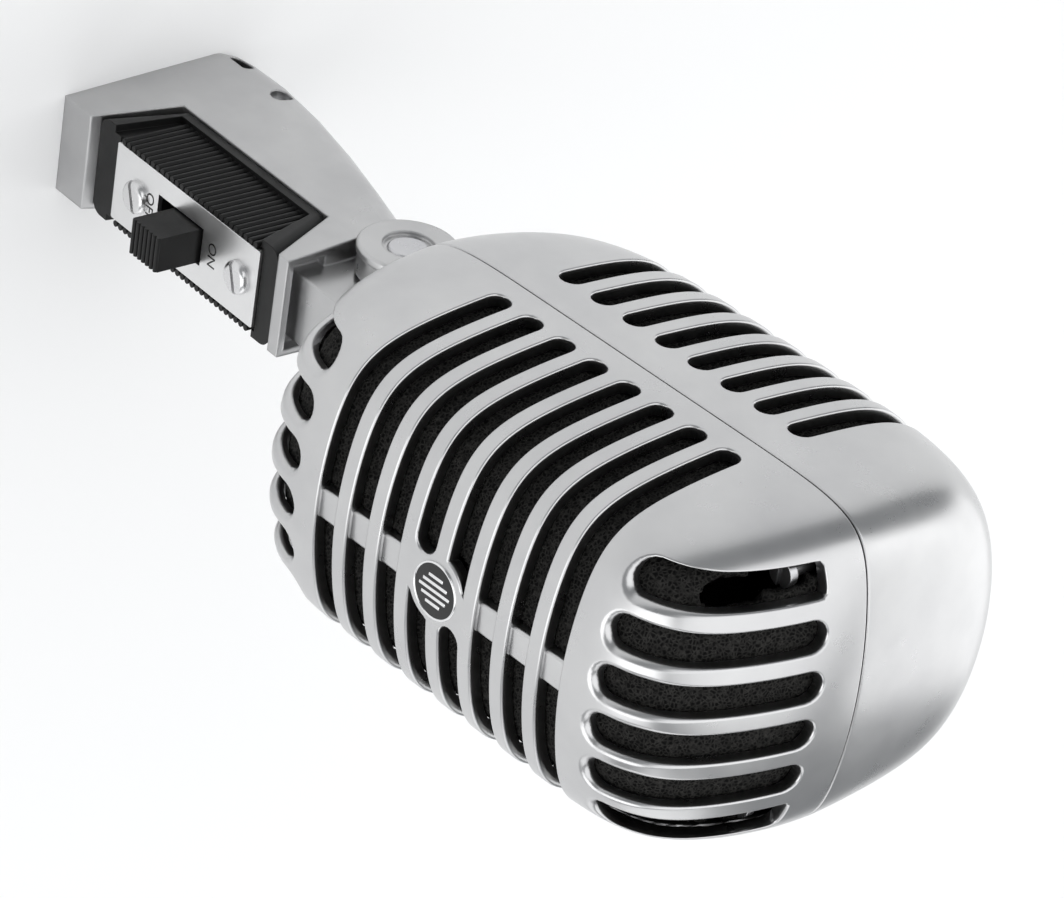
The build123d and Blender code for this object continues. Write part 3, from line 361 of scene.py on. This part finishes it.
def inside(flat, loop):
    """Which flat points lie inside a closed loop, by counting crossings."""
    found = np.zeros(len(flat), bool)
    near = np.all((flat > loop.min(0)) & (flat < loop.max(0)), axis=1).nonzero()[0]
    a, b = loop, np.roll(loop, -1, axis=0)
    px, py = flat[near, 0][:, None], flat[near, 1][:, None]
    spans = (a[:, 1] > py) != (b[:, 1] > py)
    rise = np.where(b[:, 1] == a[:, 1], 1e-12, b[:, 1] - a[:, 1])
    cross = a[:, 0] + (py - a[:, 1]) * (b[:, 0] - a[:, 0]) / rise
    found[near] = (spans & (px < cross)).sum(1) % 2 == 1
    return found


def collar(outline, rounding, steps=5):
    """Rings of points from the skin, over a rounded edge and down the slot's wall, with normals.

    A ring at angle t stands rounding * (1 - sin t) away from the edge along the skin and
    rounding * (1 - cos t) down the wall; the last ring is at the shell's inner face.
    """
    points, into = outline
    n = skin_normal(points)
    along = unit(into - (into * n).sum(-1, keepdims=True) * n)
    down = -unit(n - (n * into).sum(-1, keepdims=True) * into)
    t = np.linspace(0, math.pi / 2, steps)[:, None, None]
    rounding = np.broadcast_to(rounding, len(points))[:, None]
    rings = points + rounding * (1 - np.sin(t)) * along + rounding * (1 - np.cos(t)) * down
    normals = unit(np.cos(t) * n - np.sin(t) * into)
    rings[0] = skin(np.zeros(3), rings[0])
    normals[0] = skin_normal(rings[0])
    depth = WALL / np.maximum(-(down * n).sum(-1, keepdims=True), 0.4)
    rings = np.concatenate([rings, (points + down * depth)[None]])
    normals = np.concatenate([normals, -into[None]])
    return rings, normals


def shell(name, facing_y, border, slots, material, spacing=0.027):
    """A slotted shell: a triangulated skin with a rounded collar round every slot and its rim.

    Skin points fill a staggered grid in the flat chart; each is thrown onto the skin along
    its direction from the head's centre, and again onto the inner face one wall deeper.
    """
    collars = [collar(border, SEAM_ROUND)] + [collar(outline, rounding) for outline, rounding in slots]
    loops = [chart(rings[0], facing_y) for rings, _ in collars]
    reach = np.abs(loops[0]).max() + spacing
    u, v = np.meshgrid(np.arange(-reach, reach, spacing), np.arange(-reach, reach, spacing * 0.866))
    u = u + (np.arange(len(u)) % 2 * spacing / 2)[:, None]
    field = np.stack([u.ravel(), v.ravel()], -1)
    keep = inside(field, loops[0])
    for loop in loops[1:]:
        keep &= ~inside(field, loop)
    field = field[keep]
    rim_points = np.concatenate(loops)
    clear = [
        np.linalg.norm(block[:, None] - rim_points[None], axis=-1).min(1) > 0.55 * spacing
        for block in np.array_split(field, 24)
    ]
    field = field[np.concatenate(clear)]
    edges, start = [], 0
    for loop in loops:
        ids = start + np.arange(len(loop))
        edges.append(np.stack([ids, np.roll(ids, -1)], -1))
        start += len(loop)
    flat = np.concatenate([rim_points, field])
    result = delaunay_2d_cdt(
        [Vector(p) for p in flat.tolist()], np.concatenate(edges).tolist(), [], 0, 1e-7, True
    )
    source = np.array([ids[0] for ids in result[3]])
    triangles = source[np.array(result[2])]
    centres = flat[triangles].mean(1)
    keep = inside(centres, loops[0])
    for loop in loops[1:]:
        keep &= ~inside(centres, loop)
    triangles = triangles[keep]

    rims = np.concatenate([rings[0] for rings, _ in collars])
    rim_floors = np.concatenate([rings[-1] for rings, _ in collars])
    field_points = skin(np.zeros(3), from_chart(field, facing_y))
    field_normals = skin_normal(field_points)
    outer = np.concatenate([rims, field_points])
    outer_normals = np.concatenate([skin_normal(rims), field_normals])
    inner = np.concatenate([rim_floors, field_points - WALL * field_normals])
    points, normals = [outer, inner], [outer_normals, -outer_normals]
    faces = [facing(outer, triangles, outer_normals)]
    faces.append(facing(inner, triangles, -outer_normals) + len(outer))
    total, start = 2 * len(outer), 0
    for rings, ring_normals in collars:
        count = rings.shape[1]
        middle = rings[1:-1].reshape(-1, 3)
        numbers = np.concatenate([
            start + np.arange(count),
            total + np.arange(len(middle)),
            len(outer) + start + np.arange(count),
        ])
        quads = grid_faces(len(rings), count, wrap_columns=True)
        quads = facing(rings.reshape(-1, 3), quads, ring_normals.reshape(-1, 3))
        faces.append(numbers[quads])
        points.append(middle)
        normals.append(ring_normals[1:-1].reshape(-1, 3))
        total += len(middle)
        start += count
    points, normals = np.concatenate(points), np.concatenate(normals)
    piece = new_piece(name, head_to_row(points), faces, material, lean(normals))
    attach(piece, "head")
    return piece


# ---------------------------------------------------------------- materials
def node_group(name, inputs, outputs):
    """An empty shader group with named sockets; returns it with its input and output nodes."""
    group = bpy.data.node_groups.new(name, "ShaderNodeTree")
    for label, kind, value in inputs:
        socket = group.interface.new_socket(label, in_out="INPUT", socket_type=kind)
        socket.default_value = value
    for label, kind in outputs:
        group.interface.new_socket(label, in_out="OUTPUT", socket_type=kind)
    return group, group.nodes.new("NodeGroupInput"), group.nodes.new("NodeGroupOutput")


def placed_noise(tree, scale, detail=3.0, roughness=0.55, stretch=None):
    """Object-coordinate noise, which may be stretched along one axis; returns its value socket."""
    place = tree.nodes.new("ShaderNodeTexCoord")
    noise = tree.nodes.new("ShaderNodeTexNoise")
    noise.inputs["Scale"].default_value = scale
    noise.inputs["Detail"].default_value = detail
    noise.inputs["Roughness"].default_value = roughness
    source = place.outputs["Object"]
    if stretch:
        mapping = tree.nodes.new("ShaderNodeMapping")
        mapping.inputs["Scale"].default_value = stretch
        tree.links.new(source, mapping.inputs["Vector"])
        source = mapping.outputs["Vector"]
    tree.links.new(source, noise.inputs["Vector"])
    return noise.outputs["Fac"]


def ranged(tree, value, low, high, out_low, out_high):
    """value carried from low..high to out_low..out_high, clamped."""
    node = tree.nodes.new("ShaderNodeMapRange")
    node.inputs["From Min"].default_value = low
    node.inputs["From Max"].default_value = high
    node.inputs["To Min"].default_value = out_low
    node.inputs["To Max"].default_value = out_high
    tree.links.new(value, node.inputs["Value"])
    return node.outputs["Result"]


def build_plating_wear():
    """Plated surface: cloudy tone, fine cast grain, and a smudged roughness."""
    group, given, made = node_group(
        "plating_wear",
        [
            ("Tone", "NodeSocketColor", (0.8, 0.8, 0.8, 1)),
            ("Smudged Tone", "NodeSocketColor", (0.7, 0.7, 0.7, 1)),
            ("Roughness", "NodeSocketFloat", 0.25),
            ("Roughness Spread", "NodeSocketFloat", 0.08),
        ],
        [("Color", "NodeSocketColor"), ("Roughness", "NodeSocketFloat"), ("Grain", "NodeSocketFloat")],
    )
    clouds = placed_noise(group, 42.0, 4.0, 0.6)
    smudges = placed_noise(group, 130.0, 5.0, 0.65)
    grain = placed_noise(group, 2600.0, 2.0, 0.6)
    mix = group.nodes.new("ShaderNodeMix")
    mix.data_type = "RGBA"
    group.links.new(ranged(group, clouds, 0.35, 0.7, 0.0, 1.0), mix.inputs["Factor"])
    group.links.new(given.outputs["Tone"], mix.inputs["A"])
    group.links.new(given.outputs["Smudged Tone"], mix.inputs["B"])
    group.links.new(mix.outputs["Result"], made.inputs["Color"])
    spread = group.nodes.new("ShaderNodeMath")
    spread.operation = "MULTIPLY_ADD"
    group.links.new(ranged(group, smudges, 0.3, 0.75, -1.0, 1.0), spread.inputs[0])
    group.links.new(given.outputs["Roughness Spread"], spread.inputs[1])
    group.links.new(given.outputs["Roughness"], spread.inputs[2])
    group.links.new(spread.outputs["Value"], made.inputs["Roughness"])
    group.links.new(grain, made.inputs["Grain"])
    return group


plating_wear = build_plating_wear()


def new_material(name, **fixed):
    """A material with one Principled BSDF whose named sockets hold fixed values."""
    material = bpy.data.materials.new(name)
    material.use_nodes = True
    shader = material.node_tree.nodes["Principled BSDF"]
    for label, value in fixed.items():
        shader.inputs[label.replace("_", " ")].default_value = value
    return material, material.node_tree, shader


def bumped(tree, shader, height, strength, distance, normal=None):
    """Feeds a height into the shader's normal, over another normal if one is given."""
    bump = tree.nodes.new("ShaderNodeBump")
    bump.inputs["Strength"].default_value = strength
    bump.inputs["Distance"].default_value = distance
    tree.links.new(height, bump.inputs["Height"])
    if normal is not None:
        tree.links.new(normal, bump.inputs["Normal"])
    tree.links.new(bump.outputs["Normal"], shader.inputs["Normal"])


def plated(name, tone, smudged, roughness, spread, grain=0.1, edge_radius=0.0):
    """Satin or bright plated metal; edge_radius softens a CAD piece's sharp edges."""
    material, tree, shader = new_material(name, Metallic=1.0)
    wear = tree.nodes.new("ShaderNodeGroup")
    wear.node_tree = plating_wear
    wear.inputs["Tone"].default_value = (*tone, 1)
    wear.inputs["Smudged Tone"].default_value = (*smudged, 1)
    wear.inputs["Roughness"].default_value = roughness
    wear.inputs["Roughness Spread"].default_value = spread
    tree.links.new(wear.outputs["Color"], shader.inputs["Base Color"])
    tree.links.new(wear.outputs["Roughness"], shader.inputs["Roughness"])
    soft_edge = None
    if edge_radius:
        edge = tree.nodes.new("ShaderNodeBevel")
        edge.samples = 6
        edge.inputs["Radius"].default_value = edge_radius
        soft_edge = edge.outputs["Normal"]
    bumped(tree, shader, wear.outputs["Grain"], grain, 0.00003, soft_edge)
    return material


satin_shell = plated("satin_shell", (0.58, 0.58, 0.58), (0.51, 0.51, 0.515), 0.30, 0.04)
satin_base = plated("satin_base", (0.54, 0.54, 0.54), (0.45, 0.45, 0.455), 0.32, 0.05, edge_radius=0.0006)
plate_screw_steel = plated(
    "plate_screw_steel", (0.72, 0.72, 0.72), (0.66, 0.66, 0.67), 0.28, 0.03, grain=0.0
)
bright_trim = plated("bright_trim", (0.80, 0.80, 0.80), (0.74, 0.74, 0.75), 0.17, 0.03, grain=0.02)
screw_steel = plated("screw_steel", (0.62, 0.62, 0.63), (0.5, 0.5, 0.51), 0.28, 0.08, edge_radius=0.0003)
pin_steel = plated("pin_steel", (0.58, 0.58, 0.59), (0.48, 0.48, 0.5), 0.3, 0.06, edge_radius=0.0003)
plate_silver = plated(
    "plate_silver", (0.80, 0.80, 0.80), (0.74, 0.74, 0.74), 0.33, 0.04, edge_radius=0.0002
)
contact_gold = plated("contact_gold", (0.83, 0.67, 0.34), (0.72, 0.55, 0.27), 0.25, 0.08)
motor_iron = plated("motor_iron", (0.35, 0.35, 0.36), (0.26, 0.26, 0.27), 0.42, 0.1)
coil_copper = plated("coil_copper", (0.80, 0.42, 0.24), (0.66, 0.32, 0.17), 0.35, 0.08)


def make_foam_material():
    """Open-cell foam: lighter grey strands, with painted shade darkening the pits between them; the same
    pattern is the bump.
    """
    material, tree, shader = new_material("charcoal_foam", Roughness=0.95)
    shader.inputs["Specular IOR Level"].default_value = 0.15
    place = tree.nodes.new("ShaderNodeTexCoord")
    cells = tree.nodes.new("ShaderNodeTexVoronoi")
    cells.feature = "DISTANCE_TO_EDGE"
    cells.inputs["Scale"].default_value = 1500.0
    tree.links.new(place.outputs["Object"], cells.inputs["Vector"])
    # strands are 1 and the cells' pits 0; the pits get painted shade in the colour mix below
    strand_and_pit_shade_mask = ranged(tree, cells.outputs["Distance"], 0.05, 0.28, 1.0, 0.0)
    patches = placed_noise(tree, 900.0, 4.0, 0.7)
    foam_relief_and_pit_shade = tree.nodes.new("ShaderNodeMath")
    foam_relief_and_pit_shade.operation = "MULTIPLY"
    tree.links.new(strand_and_pit_shade_mask, foam_relief_and_pit_shade.inputs[0])
    tree.links.new(ranged(tree, patches, 0.3, 0.7, 0.2, 1.2), foam_relief_and_pit_shade.inputs[1])
    mix = tree.nodes.new("ShaderNodeMix")
    mix.data_type = "RGBA"
    # A: near-black painted shade in the foam's pits; B: the strands' own charcoal grey
    mix.inputs["A"].default_value = (0.002, 0.002, 0.002, 1)
    mix.inputs["B"].default_value = (0.034, 0.033, 0.031, 1)
    tree.links.new(foam_relief_and_pit_shade.outputs["Value"], mix.inputs["Factor"])
    tree.links.new(mix.outputs["Result"], shader.inputs["Base Color"])
    bumped(tree, shader, foam_relief_and_pit_shade.outputs["Value"], 0.8, 0.0003)
    return material


def matt_black(name, tone, roughness, edge_radius=0.0002, shine=0.25):
    """Moulded black plastic with a fine spark-eroded texture and dusty variation."""
    material, tree, shader = new_material(name, Specular_IOR_Level=shine)
    dust = placed_noise(tree, 160.0, 5.0, 0.65)
    mix = tree.nodes.new("ShaderNodeMix")
    mix.data_type = "RGBA"
    mix.inputs["A"].default_value = (*[tone * 0.7] * 3, 1)
    mix.inputs["B"].default_value = (*[tone * 1.5] * 3, 1)
    tree.links.new(dust, mix.inputs["Factor"])
    tree.links.new(mix.outputs["Result"], shader.inputs["Base Color"])
    dusty = ranged(tree, dust, 0.3, 0.7, roughness - 0.08, roughness + 0.08)
    tree.links.new(dusty, shader.inputs["Roughness"])
    edge = tree.nodes.new("ShaderNodeBevel")
    edge.samples = 6
    edge.inputs["Radius"].default_value = edge_radius
    bumped(tree, shader, placed_noise(tree, 3000.0, 2.0), 0.25, 0.00005, edge.outputs["Normal"])
    return material


charcoal_foam = make_foam_material()
bezel_black = matt_black("bezel_black", 0.006, 0.42)
moulding_black = matt_black("moulding_black", 0.008, 0.5)
enamel_black = matt_black("enamel_black", 0.008, 0.25, 0.0001, shine=0.4)
soft_rubber = matt_black("soft_rubber", 0.025, 0.8)
lead_red = matt_black("lead_red", 0.02, 0.5)
film = matt_black("film", 0.3, 0.25)

cad_finishes = {
    satin_base: ("base_housing", "swivel_yoke"),
    pin_steel: ("hinge_pin", "friction_washers"),
    screw_steel: (
        "shell_screws", "yoke_screws", "connector_set_screw", "tension_screw", "cartridge_bracket"
    ),
    plate_screw_steel: ("nameplate_screws",),
    plate_silver: ("nameplate", "cartridge_cup"),
    contact_gold: ("connector_pins", "switch_terminals", "switch_contact", "tension_pad"),
    motor_iron: ("magnet_yoke", "magnet", "pole_piece", "transformer_core"),
    coil_copper: ("voice_coil", "transformer_coil"),
    bezel_black: ("switch_bezel", "switch_knob"),
    moulding_black: ("connector_insert", "switch_body", "resonator_plate"),
    soft_rubber: ("shock_mounts",),
    lead_red: ("head_leads", "base_leads"),
    film: ("diaphragm",),
}
for finish, nodes in cad_finishes.items():
    for node in nodes:
        node_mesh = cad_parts[node].data
        node_mesh.materials.clear()
        node_mesh.materials.append(finish)

# ---------------------------------------------------------------- head pieces
front_outlines = [(front_slot(z), EDGE_ROUND) for z in slot_heights if abs(z) > SLOT_PITCH]
for sign in (1, -1):
    for slot_side in (1, -1):
        front_outlines.append((badge_slot(sign, slot_side, sign != slot_side), EDGE_ROUND))
for slot_x in dome_slot_places:
    for slot_end in (1, -1):
        outline = dome_slot(slot_x, slot_end)
        # the edge is rounder where the slot ends low on the face
        on_face = np.clip((-24 - outline[0][:, 1]) / 10, 0, 1)
        below_dome = np.clip((50 - np.abs(outline[0][:, 2])) / 8, 0, 1)
        extra_round = (DOME_END_ROUND - EDGE_ROUND) * (on_face * below_dome)
        front_outlines.append((outline, EDGE_ROUND + extra_round))
front_shell = shell("front_shell_casting", -1.0, seam_edge(True), front_outlines, satin_shell)
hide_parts("front_shell")

rear_outlines = [(rear_slot(z, side), EDGE_ROUND) for z in slot_heights for side in (1, -1)]
rear_outlines.append((swivel_window(), WINDOW_ROUND))
rear_shell = shell("rear_shell_casting", 1.0, seam_edge(False), rear_outlines, satin_shell)
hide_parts("rear_shell")

# ---------------------------------------------------------------- foam liners
LUG_X = 20.3
LUG_Z = 44.6
LUG_HOLE = 3.1
FOAM_SHEET = 2.2
FOAM_ROUGHNESS = 0.45
BAR_GAP_HALF = (2.9, 28.5)  # left out behind the centre bar, across and up
BOSS_GAP = 6.2
FACE_LIMIT_Y = -30
SWIVEL_GAP_HALF = (21, 17)
SWIVEL_GAP_TOP_Z = -41.6


def foam_liner(name, node, front):
    """Half of the liner: the skin drawn in by the wall and a gap, roughened, then given thickness.

    Rows run out from the pole at the very front or back to the seam's plane, and columns
    run round the Y axis. Faces over the screw lugs, the centre bar and the swivel are left out.
    """
    rows, turns = 120, 300
    inset = WALL + FOAM_GAP
    y = SEAM_Y + (-SEAM_HALF_GAP if front else SEAM_HALF_GAP)
    angle = np.linspace(0.004, math.pi / 2, rows)[:, None]
    turn = np.linspace(0, 2 * math.pi, turns, endpoint=False)[None, :]
    facing_y = -1.0 if front else 1.0
    out = np.sin(angle)
    directions = columns(out * np.cos(turn), facing_y * np.cos(angle), out * np.sin(turn))
    points = skin(np.array([0, y, 0]), directions, inset)
    normals = skin_normal(points, inset)
    rough = np.random.default_rng(7).random(points.shape[:2])
    rough[-1] = 0.5
    points = points - normals * (rough * FOAM_ROUGHNESS)[..., None]
    flat = points.reshape(-1, 3)
    quads = facing(flat, grid_faces(rows, turns, wrap_columns=True), normals.reshape(-1, 3))
    centres = flat[quads].mean(1)
    x, cy, z = centres.T
    over_lug = np.hypot(np.abs(x) - LUG_X, np.abs(z) - LUG_Z) < LUG_HOLE
    # the hole's rim is drawn onto a true circle round the lug
    rim = np.intersect1d(quads[over_lug], quads[~over_lug])
    lug = np.sign(flat[rim][:, [0, 2]]) * (LUG_X, LUG_Z)
    flat[rim[:, None], [0, 2]] = lug + LUG_HOLE * unit(flat[rim][:, [0, 2]] - lug)
    behind_bar = (np.abs(x) < BAR_GAP_HALF[0]) & (np.abs(z) < BAR_GAP_HALF[1])
    behind_boss = np.hypot(x, z) < BOSS_GAP
    over_swivel = (np.abs(x) < SWIVEL_GAP_HALF[0]) & (np.abs(cy - HINGE_Y) < SWIVEL_GAP_HALF[1])
    left_out = over_lug | (behind_bar | behind_boss) & (cy < FACE_LIMIT_Y)
    left_out |= over_swivel & (z < SWIVEL_GAP_TOP_Z)
    liner = new_piece(name, head_to_row(flat), [quads[~left_out]], charcoal_foam)
    thickness = liner.modifiers.new("thickness", "SOLIDIFY")
    thickness.thickness = FOAM_SHEET * MM
    thickness.offset = -1.0
    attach(liner, "head")
    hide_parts(node)


foam_liner("front_foam_liner", "front_foam", True)
foam_liner("rear_foam_liner", "rear_foam", False)


# ---------------------------------------------------------------- centre bar and badge
def rounded_block(low, high, rounding, steps=6):
    """A box with every edge rounded: sphere directions pushed out to the box's inner corners."""
    low, high = np.asarray(low, float), np.asarray(high, float)
    core = (high - low) / 2 - rounding
    quarter = np.linspace(0, math.pi / 2, steps)
    round_turn = np.concatenate([quarter + k * math.pi / 2 for k in range(4)])
    corner_x = np.repeat([1, -1, -1, 1], steps)
    corner_y = np.repeat([1, 1, -1, -1], steps)
    tilt = np.concatenate([quarter - math.pi / 2, quarter])
    corner_z = np.repeat([-1, 1], steps)
    level = np.cos(tilt)[:, None]
    directions = columns(level * np.cos(round_turn), level * np.sin(round_turn), np.sin(tilt)[:, None])
    corners = columns(corner_x[None, :] * core[0], corner_y[None, :] * core[1], corner_z[:, None] * core[2])
    points = (low + high) / 2 + corners + rounding * directions
    rows, turns = directions.shape[:2]
    quads = grid_faces(rows, turns, wrap_columns=True)
    caps = [np.arange(turns)[None, ::-1], (rows - 1) * turns + np.arange(turns)[None, :]]
    return points.reshape(-1, 3), [quads, *caps], directions.reshape(-1, 3)


def turned(profile, turns=72):
    """A profile of (radius, y) points carried round the Y axis."""
    profile = np.asarray(profile, float)
    t = np.linspace(0, 2 * math.pi, turns, endpoint=False)[None, :]
    r, y = profile[:, :1], profile[:, 1:]
    points = columns(r * np.cos(t), y, r * np.sin(t))
    return points.reshape(-1, 3), grid_faces(len(profile), turns, wrap_columns=True)


BAR_HALF_WIDTH = 2.7
BAR_FRONT_Y = -36.8
BAR_REAR_Y = -34.2
BAR_ROUND = 0.7
BAR_HALF_HEIGHT = (SLOT_COUNT - 1) / 2 * SLOT_PITCH + SLOT_HALF + 1
bar_low = (-BAR_HALF_WIDTH, BAR_FRONT_Y, -BAR_HALF_HEIGHT)
bar_high = (BAR_HALF_WIDTH, BAR_REAR_Y, BAR_HALF_HEIGHT)
bar_points, bar_faces, _ = rounded_block(bar_low, bar_high, BAR_ROUND)
centre_bar = new_piece("centre_bar", head_to_row(bar_points), bar_faces, satin_shell)
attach(centre_bar, "head")
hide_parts("front_shell")


def ring_profile(inner, outer, floor, top, steps=5):
    """A raised ring's section: up the outer wall, over a half-round crown and down the inner wall."""
    middle, half = (inner + outer) / 2, (outer - inner) / 2
    t = np.linspace(0, math.pi, steps + 2)
    crown = np.stack([middle + half * np.cos(t), top + half * (1 - np.sin(t))], -1)
    return np.concatenate([[[outer, floor]], crown, [[inner, floor]]])


def head_part(name, shape, material, node, smooth_angle=40):
    """A new piece on the head from (points, faces) in head millimetres."""
    points, faces = shape
    piece = new_piece(name, head_to_row(points), faces if isinstance(faces, list) else [faces], material)
    piece.data.set_sharp_from_angle(angle=math.radians(smooth_angle))
    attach(piece, "head")
    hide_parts(node)
    return piece


BADGE_FACE = -37.85
BADGE_RADIUS = 4.5
STRIPE_HALF_HEIGHTS = (1.6, 2.7, 3.4, 2.7, 1.6)
STRIPE_SPACING = 1.15
STRIPE_HALF_WIDTH = 0.28
STRIPE_ROUND = 0.12
enamel_profile = [(0.01, BADGE_FACE - 0.05), (3.0, BADGE_FACE - 0.03), (BADGE_RADIUS, BADGE_FACE + 0.05)]
enamel_profile += [(BADGE_RADIUS, BADGE_FACE + 1.2), (0.01, BADGE_FACE + 1.2)]
head_part("badge_enamel_disc", turned(enamel_profile), enamel_black, "badge")
rim_profile = ring_profile(BADGE_RADIUS - 0.12, BADGE_RADIUS + 0.28, BADGE_FACE + 1.0, BADGE_FACE - 0.12)
head_part("badge_rim", turned(rim_profile), bright_trim, "badge")
for number, half_height in enumerate(STRIPE_HALF_HEIGHTS):
    stripe_x = (number - 2) * STRIPE_SPACING
    low = (stripe_x - STRIPE_HALF_WIDTH, BADGE_FACE - 0.16, -half_height)
    high = (stripe_x + STRIPE_HALF_WIDTH, BADGE_FACE + 0.4, half_height)
    stripe_points, stripe_faces, _ = rounded_block(low, high, STRIPE_ROUND, 4)
    stripe = (stripe_points, stripe_faces)
    head_part(f"badge_bar_{number + 1}", stripe, bright_trim, "badge")


# ---------------------------------------------------------------- nameplate and switch details
PLATE_FACE_Y = -17.8
LETTER_HEIGHT = 2.9


def plate_word(words, z):
    """A word in thin raised black letters, reading across the plate."""
    text = bpy.data.curves.new(words, "FONT")
    text.body = words
    text.size = LETTER_HEIGHT
    text.extrude = 0.03
    text.align_x = "CENTER"
    text.align_y = "CENTER"
    holder = bpy.data.objects.new(words, text)
    bpy.context.scene.collection.objects.link(holder)
    bpy.context.view_layer.update()
    mesh = bpy.data.meshes.new_from_object(holder.evaluated_get(bpy.context.evaluated_depsgraph_get()))
    bpy.data.objects.remove(holder)
    stand = Matrix.Rotation(math.pi / 2, 4, "X")
    place = Matrix.Translation((0, PLATE_FACE_Y - 0.01, z))
    mesh.transform(Matrix.Translation(Vector(HINGE * MM)) @ Matrix.Scale(MM, 4) @ place @ stand)
    mesh.materials.clear()
    mesh.materials.append(enamel_black)
    piece = bpy.data.objects.new(f"plate_word_{words.lower()}", mesh)
    bpy.context.scene.collection.objects.link(piece)
    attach(piece, "base")


plate_word("ON", -27.6)
plate_word("OFF", -45.4)

# ---------------------------------------------------------------- stage, light and camera
CAMERA_PLACE = Vector((-0.453777, -0.552436 - 0.0122, 0.509594 + 0.0666))
CAMERA_FORWARD = Vector((0.507912, 0.621265, -0.596704))
CAMERA_UP = Vector((-0.851075, 0.254945, -0.458993))
LENS = 194.7
lean_turn = Matrix.Rotation(-LEAN_BACK, 3, "X")
up = lean_turn @ CAMERA_UP
forward = lean_turn @ CAMERA_FORWARD
right = forward.cross(up)
camera_data = bpy.data.cameras.new("camera")
camera_data.lens = LENS
camera_data.sensor_width = 36.0
camera_data.clip_start = 0.05
camera = bpy.data.objects.new("camera", camera_data)
bpy.context.scene.collection.objects.link(camera)
turn = Matrix((right, up, -forward)).transposed().to_4x4()
camera.matrix_world = Matrix.Translation(lean_turn @ CAMERA_PLACE + Vector(HINGE * MM)) @ turn
bpy.context.scene.camera = camera


def floor_plane():
    """A plain pale floor under the base."""
    half = 6.0
    corners = np.array([[-half, -half, 0], [half, -half, 0], [half, half, 0], [-half, half, 0]])
    material, _, _ = new_material("floor_white", Base_Color=(0.86, 0.86, 0.86, 1), Roughness=0.9)
    floor = new_piece("floor", corners, [np.array([[0, 1, 2, 3]])], material, smooth=False)


def soft_light(name, place, target, size, power):
    """A square area light at place, aimed at target."""
    light = bpy.data.lights.new(name, "AREA")
    light.shape = "SQUARE"
    light.size = size
    light.energy = power
    lamp = bpy.data.objects.new(name, light)
    lamp.location = place
    lamp.rotation_euler = (Vector(target) - Vector(place)).to_track_quat("-Z", "Y").to_euler()
    bpy.context.scene.collection.objects.link(lamp)


floor_plane()
middle = (0, 0, 0.12)
soft_light("overhead", (-0.3, 0.1, 1.6), middle, 2.8, 30)
soft_light("front", (0.3, -1.5, 0.6), middle, 1.4, 12)
soft_light("rear", (0.25, 1.6, 0.55), middle, 1.8, 14)
soft_light("right_fill", (1.4, -0.2, 0.6), middle, 1.2, 5)

world = bpy.data.worlds.new("studio")
world.use_nodes = True
world.node_tree.nodes["Background"].inputs["Color"].default_value = (0.9, 0.93, 0.96, 1)
world.node_tree.nodes["Background"].inputs["Strength"].default_value = 0.34
bpy.context.scene.world = world
bpy.context.scene.view_settings.view_transform = "Standard"
